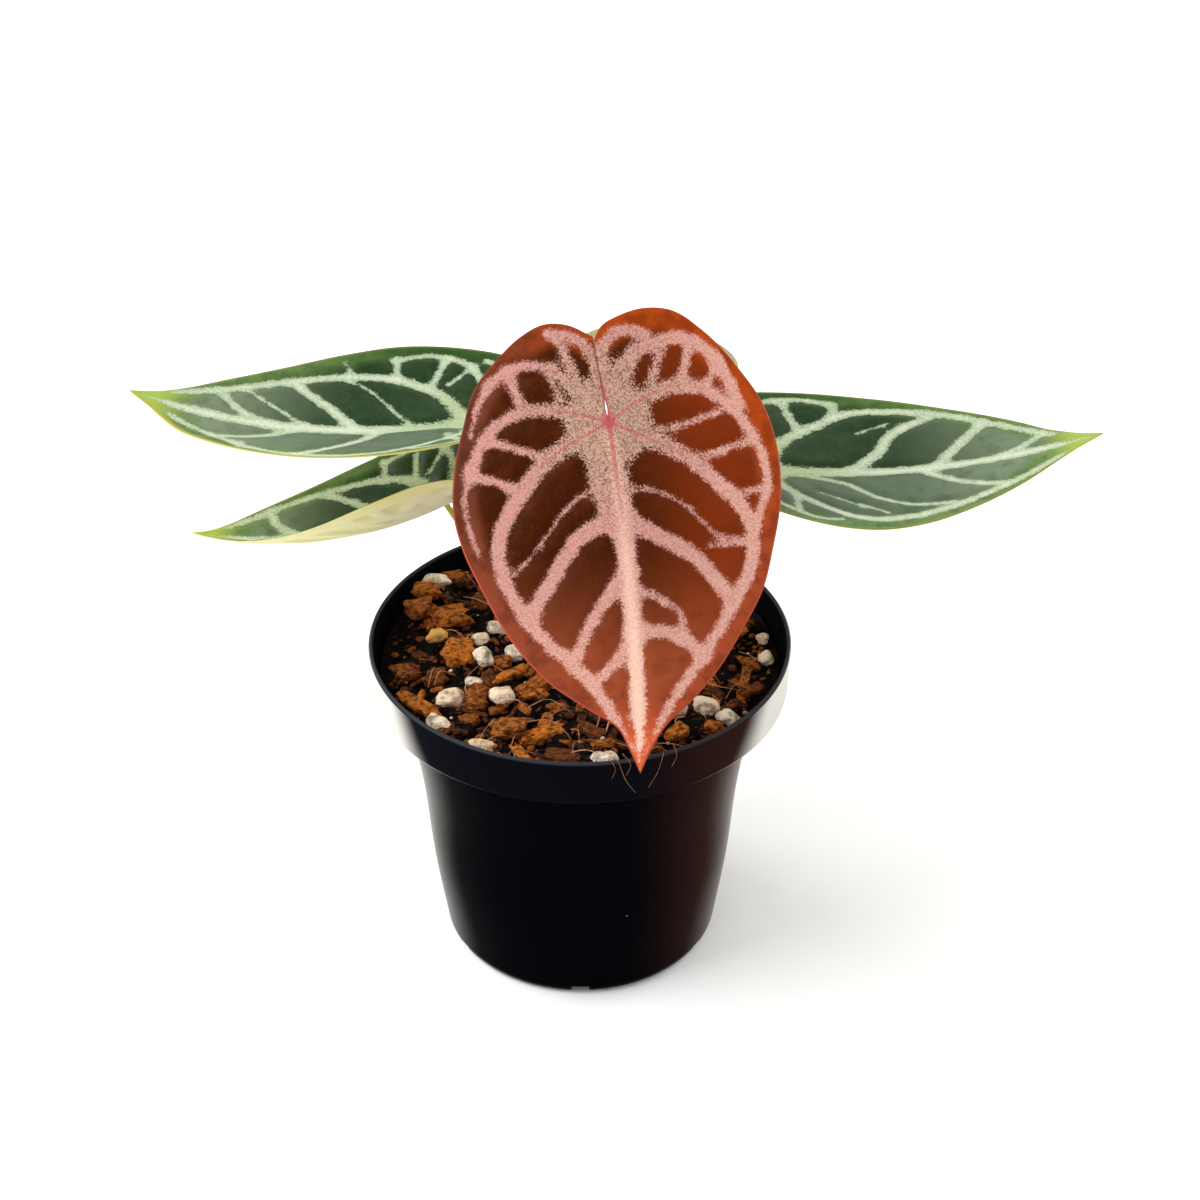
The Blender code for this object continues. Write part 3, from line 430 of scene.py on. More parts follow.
def skin(rings, first, last):
    """Closes rings of points, anticlockwise round their way, and ends them at two poles."""
    count, sides = rings.shape[:2]
    points = np.concatenate([[first], rings.reshape(-1, 3), [last]])
    index = 1 + np.arange(count * sides).reshape(count, sides)
    ahead = np.roll(index, -1, axis=1)
    quads = np.stack([index[:-1], ahead[:-1], ahead[1:], index[1:]], axis=-1).reshape(-1, 4)
    end = np.full(sides, len(points) - 1)
    triangles = np.concatenate([np.stack([end * 0, ahead[0], index[0]], axis=-1),
                                np.stack([end, index[-1], ahead[-1]], axis=-1)])
    return points, quads, triangles


def gather(parts):
    """Joins shapes, each given as points, quads and triangles, into one such shape."""
    starts = np.cumsum([0] + [len(part[0]) for part in parts[:-1]])
    return (np.concatenate([part[0] for part in parts]),
            *(np.concatenate([part[k] + start for part, start in zip(parts, starts)]) for k in (1, 2)))


def new_piece(name, shape, material, replaces=(), attributes=None):
    """Makes a piece from points in millimetres and faces, and lets it ride with the plant and its pot."""
    points, quads, triangles = shape
    mesh = bpy.data.meshes.new(name)
    corners = np.concatenate([quads.ravel(), triangles.ravel()]).astype(np.int32)
    sizes = np.repeat([4, 3], [len(quads), len(triangles)])
    mesh.vertices.add(len(points))
    mesh.vertices.foreach_set("co", (points * MM).astype(np.float32).ravel())
    mesh.loops.add(len(corners))
    mesh.loops.foreach_set("vertex_index", corners)
    mesh.polygons.add(len(sizes))
    mesh.polygons.foreach_set("loop_start", (np.cumsum(sizes) - sizes).astype(np.int32))
    mesh.update(calc_edges=True)
    for label, values in (attributes or {}).items():
        values = np.asarray(values, np.float32)
        kind, key = ("FLOAT_VECTOR", "vector") if values.ndim == 2 else ("FLOAT", "value")
        mesh.attributes.new(label, kind, "POINT").data.foreach_set(key, values.ravel())
    mesh.shade_smooth()
    mesh.materials.append(material)
    piece = bpy.data.objects.new(name, mesh)
    bpy.context.scene.collection.objects.link(piece)
    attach(piece, "root")
    if replaces:
        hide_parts(*replaces)
    return piece


def rounded(outline, radius, steps=5):
    """An outline whose inner corners are short quadratic curves that start a radius from the corner."""
    points = np.array(outline, float)
    result = [points[0]]
    for before, corner, after in zip(points, points[1:], points[2:]):
        back, ahead = before - corner, after - corner
        reach = min(radius, np.linalg.norm(back) * 0.45, np.linalg.norm(ahead) * 0.45)
        start = corner + back / np.linalg.norm(back) * reach
        end = corner + ahead / np.linalg.norm(ahead) * reach
        t = np.linspace(0.0, 1.0, steps)[:, None]
        result += list((1 - t) ** 2 * start + 2 * (1 - t) * t * corner + t ** 2 * end)
    return np.array(result + [points[-1]])


def turned(outline, sides, centre=(0.0, 0.0)):
    """Turns an outline of radius and height about Z: a ring for each point, and poles at its two ends."""
    turns = np.linspace(0.0, math.tau, sides, endpoint=False)
    radius, height = outline[1:-1, 0, None], outline[1:-1, 1, None]
    rings = np.stack([centre[0] + radius * np.cos(turns), centre[1] + radius * np.sin(turns),
                      height + 0.0 * turns], axis=-1)
    return skin(rings, (*centre, outline[0, 1]), (*centre, outline[-1, 1]))


def tube(path, radii, sides, across):
    """Carries a circle along a path: each ring lies square to it, turned by a fixed direction across it."""
    path = np.asarray(path, float)
    ahead = np.gradient(path, axis=0)
    ahead /= np.linalg.norm(ahead, axis=1, keepdims=True)
    side = np.cross(ahead, across)
    side /= np.linalg.norm(side, axis=1, keepdims=True)
    other = np.cross(ahead, side)
    turns = np.linspace(0.0, math.tau, sides, endpoint=False)[None, :, None]
    radii = np.asarray(radii, float)[:, None, None]
    rings = path[:, None] + radii * (np.cos(turns) * side[:, None] + np.sin(turns) * other[:, None])
    return skin(rings, path[0] - ahead[0] * radii[0, 0] * 0.4, path[-1] + ahead[-1] * radii[-1, 0] * 0.4)


def bezier(start, start_handle, end_handle, end, count):
    """Points along the smooth curve that leaves start for its handle and comes to end from its own."""
    t = np.linspace(0.0, 1.0, count)[:, None]
    return ((1 - t) ** 3 * start + 3 * (1 - t) ** 2 * t * start_handle + 3 * (1 - t) * t ** 2 * end_handle
            + t ** 3 * end)


def smooth_line(points, count):
    """Points evenly spaced along a smooth cubic curve through given points, with a slope at each."""
    points = np.array(points, float)
    reach = np.concatenate([[0.0], np.cumsum(np.linalg.norm(np.diff(points, axis=0), axis=1))])
    slope = np.gradient(points, reach, axis=0)
    at = np.linspace(0.0, reach[-1], count)
    index = np.clip(np.searchsorted(reach, at, side="right") - 1, 0, len(points) - 2)
    step = (reach[index + 1] - reach[index])[:, None]
    s = (at - reach[index])[:, None] / step
    return ((2 * s ** 3 - 3 * s ** 2 + 1) * points[index] + (s ** 3 - 2 * s ** 2 + s) * step * slope[index]
            + (3 * s ** 2 - 2 * s ** 3) * points[index + 1] + (s ** 3 - s ** 2) * step * slope[index + 1])


def bent_line(distance, turn, length):
    """End of an arc of a given distance that turns by a given angle over a length, as a complex number."""
    half = turn * distance / (2.0 * length)
    return distance * np.exp(1j * half) * np.sinc(half / np.pi)


def blade_points(across, along, leaf):
    """Takes points of the flat blade to the swept, folded, curled and drooping one, each bend an arc."""
    length = leaf["length"]
    sweep = math.radians(leaf["sweep"])
    swept = bent_line(along, sweep, length) + 1j * across * np.exp(1j * sweep * along / length)
    along, across = swept.real, swept.imag
    growth = 1.0 + leaf["fold_growth"] * along / length
    fold, curl = (np.radians(np.where(across >= 0, leaf[bend][1], leaf[bend][0])) * growth
                  for bend in ("fold", "curl"))
    out = np.abs(across)
    half_turn = curl * out / (2.0 * CURL_REACH * length)
    rib = np.exp(1j * (fold + half_turn)) * np.sinc(half_turn / np.pi)
    sideways = across * rib.real
    rise = -(np.sqrt(out ** 2 + FOLD_SOFTNESS ** 2) - FOLD_SOFTNESS) * rib.imag
    droop = np.radians(np.where(along < 0, leaf.get("lobe_droop", leaf["droop"]), leaf["droop"]))
    pitch, heading = math.radians(leaf["pitch"]), math.radians(leaf["heading"])
    spine = bent_line(along, -droop, length) * np.exp(1j * pitch)
    slope = (pitch - droop * along / length)[..., None]
    roll = np.radians(leaf["roll"] + leaf["twist"] * along / length)[..., None]
    ahead = np.array([math.cos(heading), math.sin(heading), 0.0])
    aside = np.array([-math.sin(heading), math.cos(heading), 0.0])
    up = np.array([0.0, 0.0, 1.0])
    normal = -np.sin(slope) * ahead + np.cos(slope) * up
    return (np.array(leaf["at"]) + spine.real[..., None] * ahead + spine.imag[..., None] * up
            + sideways[..., None] * (np.cos(roll) * aside + np.sin(roll) * normal)
            + rise[..., None] * (np.cos(roll) * normal - np.sin(roll) * aside))


def blade_normal(leaf):
    """The upward normal where the petiole joins the blade."""
    spots = blade_points(np.array([0.0, 0.0, 0.1]), np.array([0.0, 0.1, 0.0]), leaf)
    normal = np.cross(spots[1] - spots[0], spots[2] - spots[0])
    return normal / np.linalg.norm(normal)


def vein_line(knots, half, length, sign):
    """A vein's smooth path in the flat blade: each knot's turn gives a ray, and its share a spot on it."""
    turn = np.degrees(np.arctan2(half[:, 0], half[:, 1]))[::-1]
    reach = np.hypot(half[:, 0], half[:, 1])[::-1]
    angles, shares = np.array(knots, float).T
    radii = np.interp(angles, turn, reach) * shares * length
    angles = np.radians(angles)
    return smooth_line(np.stack([sign * radii * np.sin(angles), radii * np.cos(angles)], axis=-1), 26)


def depth_in(spots, line, widths):
    """How deep each spot lies in a band round a line: the band's half width there less the distance to it."""
    start, step = line[:-1], np.diff(line, axis=0)
    away = spots[:, None] - start
    share = np.clip((away * step).sum(-1) / (step ** 2).sum(-1), 0.0, 1.0)
    distance = np.linalg.norm(away - share[..., None] * step, axis=-1)
    place = (np.arange(len(step)) + share) / len(step)
    return (widths[0] + (widths[1] - widths[0]) * place - distance).max(axis=1)


def vein_fields(spots, leaf, halves):
    """Depth in the pale bands and in the thin cores of the main veins, in millimetres, negative outside them.

    The bands' depths d are joined as s log(sum of exp(d / s)), with s = BAND_BLEND, so the panels between
    them get round corners. Towards the tip the bands narrow.
    """
    length = leaf["length"]
    red = LEAVES["red"]
    sides = [(MIDRIB, halves[0], -1.0)]
    for veins, half, sign in zip(leaf["veins"], halves, (-1.0, 1.0)):
        sides += [(vein, half, sign) for vein in veins]
    hub = HUB_SHARES[leaf is not red] * length
    total = np.exp((hub - np.hypot(spots[:, 0], spots[:, 1])) / BAND_BLEND)
    slit = np.array([(0.0, 0.0), (0.0, -0.13 * length)])
    core = depth_in(spots, slit, (0.6, 0.3))
    for (widths, knots), half, sign in sides:
        line = vein_line(knots, half, length, sign)
        depth = depth_in(spots, line, np.array(widths) * length / red["length"])
        total += np.exp(np.minimum(depth, 9.0) / BAND_BLEND)
        if knots[0][1] == 0.0 and widths[0] > MAIN_VEIN:
            core = np.maximum(core, depth_in(spots, line, (0.5, 0.0) if knots is MIDRIB[1] else (0.22, -0.1)))
    tip = np.clip((spots[:, 1] / length - TIP_NARROWS) / (1.0 - TIP_NARROWS), 0.0, 1.0)
    return BAND_BLEND * np.log(total) - TIP_NARROWING * tip ** 1.2, np.maximum(core, -9.0)


def edge_distance(outline, shares):
    """Rough distance of each spot from the margin: the rest of its ray, less where it meets it aslant."""
    along_edge = np.gradient(outline, axis=0)
    ray = outline / np.linalg.norm(outline, axis=1, keepdims=True)
    turn = np.abs(ray[:, 0] * along_edge[:, 1] - ray[:, 1] * along_edge[:, 0])
    slant = np.maximum(turn / np.linalg.norm(along_edge, axis=1), 0.25)
    return ((1.0 - shares)[:, None] * np.linalg.norm(outline, axis=1) * slant).ravel()


def build_blade(name, leaf, look):
    """A blade: rays from the petiole's end to the margin, cut into rings, raised between the veins.

    The rise is look.puff times one minus a bell curve of the distance from the pale bands. Near the slit
    between the lobes the rays shift sideways by bell curves of their turn, so that the lobes meet there but
    for a small opening, the left lobe just below the right. The lower face lies a thickness below, less near
    the margin.
    """
    halves = [smooth_line(half, RAYS) for half in leaf["halves"]]
    outline = np.concatenate([halves[0] * (-1.0, 1.0), halves[1][-2::-1]]) * leaf["length"]
    count = len(outline)
    shares = (np.arange(1, RINGS + 1) / RINGS) ** 0.9
    flat = shares[:, None, None] * outline[None]
    left = np.arange(count) < RAYS
    turn = np.degrees(np.arctan2(np.abs(outline[:, 0]), outline[:, 1]))
    by_slit = np.exp(-((180.0 - turn) / SLIT_SPREAD) ** 2)
    far = shares[:, None] * np.hypot(outline[:, 0], outline[:, 1])
    closing = look.slit_closed * np.where(left, *SLIT_SHIFTS)
    wide, where, spread = SLIT_OPENING
    shift = by_slit * (closing * far - wide * np.exp(-((far - where) / spread) ** 2))
    flat[..., 0] += np.where(left, shift, -shift)
    spots = np.concatenate([[[0.0, 0.0]], flat.reshape(-1, 2)])
    band, core = vein_fields(spots, leaf, halves)
    margin = np.concatenate([[leaf["length"]], edge_distance(outline, shares)])
    rise = look.puff / MM * (1.0 - np.exp(-(np.maximum(0.0, -band) / PUFF_WIDTH) ** 2))
    rise *= np.clip(margin / FLAT_MARGIN, 0.0, 1.0)
    rise[1:] -= (look.slit_closed * LOBE_DROP * left * by_slit * np.clip(far / 9.0, 0.0, 1.0)).ravel()
    surface = blade_points(flat[..., 0], flat[..., 1], leaf)
    normal = np.cross(np.gradient(surface, axis=0), np.gradient(surface, axis=1))
    normal /= np.linalg.norm(normal, axis=-1, keepdims=True)
    upward = blade_normal(leaf)
    normal *= np.sign((normal @ upward).sum())
    upper = np.concatenate([[leaf["at"]], surface.reshape(-1, 3)])
    normals = np.concatenate([[upward], normal.reshape(-1, 3)])
    upper += normals * rise[:, None]
    thickness = look.thickness / MM * (0.45 + 0.55 * np.clip(margin / THIN_MARGIN, 0.0, 1.0))
    lower = upper - normals * thickness[:, None]

    total = len(upper)
    index = 1 + np.arange(RINGS * count).reshape(RINGS, count)
    fan = np.stack([np.zeros(count - 1, int), index[0, 1:], index[0, :-1]], axis=-1)
    quads = np.stack([index[:-1, :-1], index[:-1, 1:], index[1:, 1:], index[1:, :-1]], axis=-1).reshape(-1, 4)
    loop = np.concatenate([[0], index[:, 0], index[-1, 1:], index[-2::-1, -1]])
    ahead = np.roll(loop, -1)
    wall = np.stack([loop, ahead, ahead + total, loop + total], axis=-1)
    first = np.cross(upper[fan[0, 1]] - upper[0], upper[fan[0, 2]] - upper[0])
    if first @ upward < 0:
        fan, wall = fan[:, ::-1], wall[:, ::-1]
    quad = upper[quads[0]]
    if np.cross(quad[1] - quad[0], quad[2] - quad[0]) @ upward < 0:
        quads = quads[:, ::-1]
    shape = (np.concatenate([upper, lower]), np.concatenate([quads, quads[:, ::-1] + total, wall]),
             np.concatenate([fan, fan[:, ::-1] + total]))
    attributes = {"flat": np.tile(np.pad(spots, ((0, 0), (0, 1))), (2, 1)), "band": np.tile(band, 2),
                  "core": np.tile(core, 2), "margin": np.tile(margin, 2),
                  "reach": np.tile(spots[:, 1] / leaf["length"], 2),
                  "underside": np.repeat([0.0, 1.0], total)}
    young = name == "red"
    material = velvet_lamina(f"velvet_lamina_{name}", look, young, leaf.get("turned_round", 1.0),
                             leaf.get("near_rim", 0.3))
    new_piece(f"leaf_blade_{name}", shape, material,
              (f"blade_{name}",), attributes)


def velvet_lamina(name, look, young, turned_round, near_rim):
    """Living leaf skin, velvety from tiny domed cells.

    The eye sees a soft sheen over dark panels, and pale bands along the veins with ragged, sparkling edges.
    Where turned_round is -1 the two sides of the blade swap their tones. near_rim says how strongly the thin
    line along a green blade's near margin shows. Lengths are in millimetres of the flat blade.
    """
    material, add = new_material(name)
    flat = add("Attribute", attribute_name="flat", output="Vector")
    band, core, margin, reach, underside = (add("Attribute", attribute_name=label, output="Fac")
                                            for label in ("band", "core", "margin", "reach", "underside"))
    across = add("Math", add("SeparateXYZ", flat), turned_round, **TIMES)
    distance = add("VectorMath", flat, operation="LENGTH")

    # Crystal-like cells, drawn 0.3 mm wide, coarser than the real ones, so that they show. They stipple the
    # edges of the pale bands, which also wave over 3 mm and are ragged over 0.7 mm.
    cell = add("SeparateColor", add("TexVoronoi", flat, 3.3, output="Color"))
    ragged = look.raggedness
    stipple = add("MapRange", distance, 8.0, 24.0, ragged * 0.8, ragged * 0.3, **SMOOTH)
    depth = band
    for pattern, height in ((cell, stipple), (add("TexNoise", flat, 0.33, 1.0), 1.4),
                            (add("TexNoise", flat, 1.4, 5.0, 0.72), ragged)):
        depth = add("Math", add("Math", pattern, 0.5, **LESS), height, depth, operation="MULTIPLY_ADD")
    pale = add("MapRange", depth, *((-0.65, 0.5) if young else (-0.35, 0.35)), **SMOOTH)

    # Panels between the veins change across and along the blade and are mottled over 5 mm and over 1 mm.
    mottle = add("TexNoise", flat, 0.2, 6.0, 0.6)
    fleck = add("TexNoise", flat, 1.0, 4.0, 0.7)
    # On the red blade the orange right side is partly its own colour and partly painted light shining through
    # it.
    # Painted light: on the green blades the lighter near-side panels and margin, and panels near the tip, are
    # painted sheen.
    edge = layered(add, look.margin_left, (look.margin_right, (across, -38.0, 12.0)),
                   (look.margin_low, (reach, 0.0, 0.6, 0.0, 0.7)),
                   (look.panel, (mottle, 0.56, 0.36, 0.0, 0.4)))
    panel = layered(add, look.panel, (look.panel_side, (across, *((0.0, 25.0) if young else (-4.0, 8.0)))),
                    (look.panel_low, (reach, 0.33, 0.87)), (look.panel_light, (mottle, 0.45, 0.72, 0.0, 0.5)),
                    (look.panel_fleck, (fleck, 0.5, 0.75, 0.0, 0.25)), (edge, (margin, 8.0, 3.5, 0.0, 0.92)),
                    (look.tip, (reach, 0.8, 0.93)))

    # The bands are paler along the red midrib and in the middle of each green band, and sparkle over 0.3 mm.
    if young:
        from_midrib = add("Math", across, operation="ABSOLUTE")
        middle = product(add, (from_midrib, 2.9, 0.0, 0.0, 0.85), (reach, 0.0, 0.06),
                         (reach, 0.2, 0.75, 0.5, 1.0))
        grain = (distance, 12.0, 32.0, look.sparkle, look.sparkle * 0.5)
    else:
        middle = product(add, (depth, 0.4, 1.7, 0.0, 0.9), (distance, 12.0, 32.0, 0.2, 1.0))
        grain = look.sparkle
    twinkle = add("Math", add("TexNoise", flat, 1.5, 3.0), 0.7, cell, operation="MULTIPLY_ADD")
    vein = layered(add, look.band_hub, (look.band, (distance, 8.0, 26.0)),
                   (look.band_low, (reach, 0.35, 0.8, 0.0, 0.7)),
                   (look.band_low, (across, 6.0, 34.0, 0.0, 0.7)),
                   (look.band_middle, middle),
                   (look.band_shade, (twinkle, 1.1, 0.5), grain, (middle, 0.0, 0.9, 1.0, 0.45)))

    width = look.rim_width / MM
    rim = [(margin, width, width * 0.4), (reach, -0.1, 0.4, look.rim_upper, 1.0)]
    if not young:
        rim.append((across, -4.0, 4.0, 0.2, near_rim))
    # Painted light: the green blades' lower face is paler than its own colour, standing in for light shining
    # through the blade.
    below = layered(add, look.underside, (look.underside_vein, (band, -1.6, 1.2, 0.0, 1.0 if young else 0.5)),
                    (look.underside_vein, (distance, 30.0, 8.0, 0.0, 0.7)))
    colour = layered(add, panel, (vein, pale),
                     (look.core, (core, -0.4, 0.3), (distance, 30.0, 5.0, 0.0, look.core_strength)),
                     (look.core, (distance, 3.0, 0.4, 0.0, look.core_strength)), (look.rim, *rim),
                     (below, underside))
    roughness = add("MapRange", pale, 0.0, 1.0, 0.42, 0.55, **SMOOTH)
    bump = add("Bump", 0.35, 0.00025, inputs={"Height": add("TexNoise", flat, 3.2, 3.0)})
    return finish(material, colour, roughness, bump,
                  {"IOR": 1.42, "Specular IOR Level": 0.05 if young else 0.07, "Sheen Weight": 0.01,
                   "Sheen Roughness": 0.4})


def waxy_stalk(look):
    """Living petiole skin, smooth and waxy: yellow-green with fine stripes, flushed brown at its foot."""
    material, add = new_material("waxy_stalk")
    # Stripes 1 mm across and 12 mm long.
    place = add("TexCoord", output="Object")
    drawn_out = add("Mapping", inputs={"Vector": place, "Scale": (1000.0, 1000.0, 80.0)})
    stripe = add("TexNoise", drawn_out, 1.0, 3.0)
    foot = add("MapRange", add("Attribute", attribute_name="along", output="Fac"), 0.22, 0.0, 0.0, 0.75)
    colour = layered(add, look.stalk, (look.stalk_light, stripe), (look.stalk_foot, foot))
    return finish(material, colour, 0.36, add("Bump", 0.3, 0.0003, inputs={"Height": stripe}))


def woody_stem(look):
    """Short fleshy stem with corky rings: green-brown, dull and rough, paler on its roots."""
    material, add = new_material("woody_stem")
    place = add("TexCoord", output="Object")
    # Corky patches 3 mm wide, and buried roots below a height of 58 mm.
    patch = add("TexNoise", place, 330.0, 6.0, 0.65)
    buried = add("MapRange", add("SeparateXYZ", place, output="Z"), 0.068, 0.058)
    cork = add("MapRange", patch, 0.38, 0.62)
    colour = layered(add, look.stem, (look.stem_cork, cork), (look.root, buried))
    return finish(material, colour, 0.7, add("Bump", 0.6, 0.0008, inputs={"Height": patch}))


def papery_scale(look):
    """Dry papery scale leaf: thin, matt and brown, with long fine ribs."""
    material, add = new_material("papery_scale")
    # Ribs 0.8 mm apart.
    place = add("TexCoord", output="Object")
    rib = add("TexNoise", add("Mapping", inputs={"Vector": place, "Scale": (1250.0, 1250.0, 60.0)}), 1.0, 4.0)
    colour = layered(add, look.scale_dark, (look.scale_light, rib))
    return finish(material, colour, 0.75, add("Bump", 0.6, 0.0004, inputs={"Height": rib}))


def moulded_polypropylene(look):
    """Black polypropylene, injection moulded: semi-gloss, faint ripple, dust specks, painted reflection and
    highlight.
    """
    material, add = new_material("moulded_polypropylene")
    place = add("TexCoord", output="Object")
    axes = add("SeparateXYZ", place).node.outputs
    # Specks about 0.4 mm across, some 6 mm apart, on one cell in five.
    cells = add("TexVoronoi", place, 165.0)
    few = add("Math", add("SeparateColor", cells.node.outputs["Color"]), 0.8, operation="GREATER_THAN")
    speck = add("Math", add("MapRange", cells, 0.05, 0.03), few, **TIMES)
    on_band = add("MapRange", axes["Z"], 0.0738, 0.0744, **SMOOTH)
    # The outside is browner on its right, a painted reflection, and the lip is greyer along its top, a
    # painted highlight.
    normal = add("TexCoord", output="Normal")
    outward = product(add, (add("VectorMath", place, normal, operation="DOT_PRODUCT"), 0.02, 0.03))
    # Painted highlight: the top of the lip is greyer.
    lip = add("MapRange", axes["Z"], 0.0862, 0.0868, 0.0, 0.8, **SMOOTH)
    colour = layered(add, look.plastic, (look.band, on_band), (look.dust, speck),
                     (look.painted_warm_reflection, (axes["X"], 0.012, 0.036), outward), (look.lip, lip))
    # Smears some 15 mm across change the gloss a little, and the ripple is 8 mm long.
    gloss = add("MapRange", add("TexNoise", place, 65.0, 4.0), 0.3, 0.7, 0.14, 0.24)
    bump = add("Bump", 0.12, 0.0006, inputs={"Height": add("TexNoise", place, 120.0, 1.0)})
    finish(material, colour, gloss, bump, {"IOR": 1.49, "Specular IOR Level": 0.004})
    # Seen aslant, the outside is a blurred mirror of the white studio, more so on the band.
    facing = add("LayerWeight", 0.5, output="Facing")
    on_body = add("Math", 1.0, on_band, **LESS)
    aslant = add("Math", product(add, (facing, 0.52, 0.7, 0.0, 0.95), on_band),
                 product(add, (facing, 0.6, 1.0, 0.0, 0.3), on_body), operation="ADD")
    share = product(add, aslant, outward, add("Math", 1.0, lip, **LESS))
    mirror = add("BsdfAnisotropic", inputs={"Color": look.flank, "Roughness": gloss, "Normal": bump})
    tree = material.node_tree
    surface = add("MixShader", share, tree.nodes["Principled BSDF"].outputs[0], mirror)
    tree.links.new(surface, tree.nodes["Material Output"].inputs["Surface"])
    return material


def damp_soil(look):
    """Damp peat and coir dust: near black and crumbly, with faint damp glints."""
    material, add = new_material("damp_soil")
    # Crumbs 1.2 mm wide, a few of them brown.
    crumb = add("TexNoise", add("TexCoord", output="Object"), 830.0, 5.0, 0.7)
    colour = layered(add, look.soil, (look.soil_light, (crumb, 0.5, 0.75)))
    bump = add("Bump", 1.0, 0.0016, inputs={"Height": crumb})
    return finish(material, colour, 0.8, bump, {"Specular IOR Level": 0.12})


def coconut_husk(look):
    """Coconut husk, chopped: dry spongy pith between tough fibres, orange to dark brown and quite matt."""
    material, add = new_material("coconut_husk")
    tone = add("Attribute", attribute_name="tone", output="Fac")
    # Fibres 0.35 mm apart that run along each chip, over pith mottled every 1.5 mm.
    fibre = add("TexNoise", add("Attribute", attribute_name="grain", output="Vector"), 2.8, 4.0, 0.65)
    pith = add("TexNoise", add("TexCoord", output="Object"), 650.0, 5.0)
    fibres = layered(add, look.husk_brown, (look.husk_bright, tone))
    colour = layered(add, look.husk_dark, (look.husk, tone), (fibres, add("MapRange", fibre, 0.42, 0.66)),
                     (look.husk_dark, add("MapRange", pith, 0.54, 0.36, 0.0, 0.85)))
    bump = add("Bump", 0.9, 0.0006, inputs={"Height": add("Math", fibre, pith, operation="ADD")})
    return finish(material, colour, 0.85, bump, {"Specular IOR Level": 0.15})


def coir_fibre(look):
    """Coir and root fibres, dry and wiry: orange to pale straw, with a faint shine."""
    material, add = new_material("coir_fibre")
    # Darker stretches 2 mm long.
    stretch = add("TexNoise", add("TexCoord", output="Object"), 500.0, 2.0)
    tone = add("Attribute", attribute_name="tone", output="Fac")
    colour = layered(add, look.fibre, (look.fibre_pale, tone),
                     (look.husk_brown, (stretch, 0.4, 0.65, 0.0, 0.6)))
    return finish(material, colour, 0.6)


def expanded_perlite(look):
    """Expanded perlite, a popped volcanic glass: white, chalky and full of pores, stained tan by the mix."""
    material, add = new_material("expanded_perlite")
    place = add("TexCoord", output="Object")
    tone = add("Attribute", attribute_name="tone", output="Fac")
    grime = add("MapRange", add("TexNoise", place, 380.0, 5.0), 0.48, 0.68, 0.0, 0.85)
    colour = layered(add, look.perlite, (look.perlite_tan, tone), (look.perlite_grime, grime))
    # Pores 0.7 mm wide.
    pores = add("TexVoronoi", place, 1400.0)
    return finish(material, colour, 0.9, add("Bump", 0.7, 0.0004, inputs={"Height": pores}))


def studio_paper(look):
    """White paper sweep: matt and even, so that only the soft shadow shows on it."""
    return finish(new_material("studio_paper")[0], look.floor, 0.9, None, {"Specular IOR Level": 0.1})


def soil_height(x, y):
    """Height of the mix: long low waves, dished towards the wall, with a mound at the back left."""
    (rate_x, shift_x), (rate_y, shift_y) = SOIL_WAVES
    share, cross_x, cross_y = SOIL_CROSS_WAVE
    waves = np.sin(rate_x * x + shift_x) * np.cos(rate_y * y + shift_y)
    waves = waves + share * np.sin(cross_x * x + cross_y * y)
    mound_x, mound_y, radius, rise = MOUND
    mound = rise * np.exp(-((x - mound_x) ** 2 + (y - mound_y) ** 2) / radius ** 2)
    return SOIL_LEVEL + SOIL_WAVE_HEIGHT * waves - SOIL_DISH * (np.hypot(x, y) / RIM_RADIUS) ** 4 + mound


def pot_hollow():
    """The pot's inside from floor to lip: its outside drawn in by the wall."""
    wall = [(radius - WALL, height) for radius, height in SIDE_OUTLINE[2:5]]
    shoulder = [(radius - WALL, height + WALL) for radius, height in SIDE_OUTLINE[5:]]
    return [*INNER_HEEL, *wall, *shoulder]


def scatter_bits(rng, taken, count, lengths):
    """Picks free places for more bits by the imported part's seeded rule: clear of bits, stem and wall."""
    bits = []
    while len(bits) < count:
        x, y = rng.uniform(-FILL_RADIUS, FILL_RADIUS), rng.uniform(-FILL_RADIUS, FILL_RADIUS)
        length = rng.uniform(*lengths)
        far_out = math.hypot(x, y) + length / 2 > FILL_RADIUS
        near_stem = math.hypot(x - CROWN[0], y - CROWN[1]) < CROWN_CLEAR_RADIUS
        crowded = any(math.hypot(x - bit[0], y - bit[1]) < FILL_SPACING * (length + bit[2])
                      for bit in taken + bits)
        if not (far_out or near_stem or crowded):
            bits.append((x, y, length, length * rng.uniform(*FILL_PROPORTION), rng.uniform(-90.0, 90.0)))
    return bits


def all_bits():
    """The chips and grains of the mix, those seen at the front and those by the seeded rule, with tones."""
    rng = random.Random(MIX_SEED)
    husk, perlite = ([bit[:5] for bit in seen] for seen in (HUSK_CHIPS, PERLITE_GRAINS))
    more_husk = scatter_bits(rng, husk + perlite, *FILL_CHIPS)
    more_perlite = scatter_bits(rng, husk + more_husk + perlite, *FILL_PERLITE)
    tones = random.Random(MIX_SEED + 1)
    return ([*HUSK_CHIPS, *((*bit, tones.uniform(0.1, 1.0)) for bit in more_husk)],
            [*PERLITE_GRAINS, *((*bit, tones.uniform(0.0, 0.5)) for bit in more_perlite)])


def lump(length, width, thickness, boxiness, rings, sides):
    """A closed lump: a ball whose sines and cosines are raised to a power; a low one makes it boxy."""
    rise = np.linspace(-math.pi / 2, math.pi / 2, rings + 2)[1:-1, None]
    turn = np.linspace(0.0, math.tau, sides, endpoint=False)[None]
    out, up, x, y = (np.sign(wave) * np.abs(wave) ** boxiness for wave in
                     (np.cos(rise), np.sin(rise), np.cos(turn), np.sin(turn)))
    points = np.stack([out * x * length / 2, out * y * width / 2, up * thickness / 2 + 0.0 * turn], axis=-1)
    return skin(points, (0.0, 0.0, -thickness / 2), (0.0, 0.0, thickness / 2))


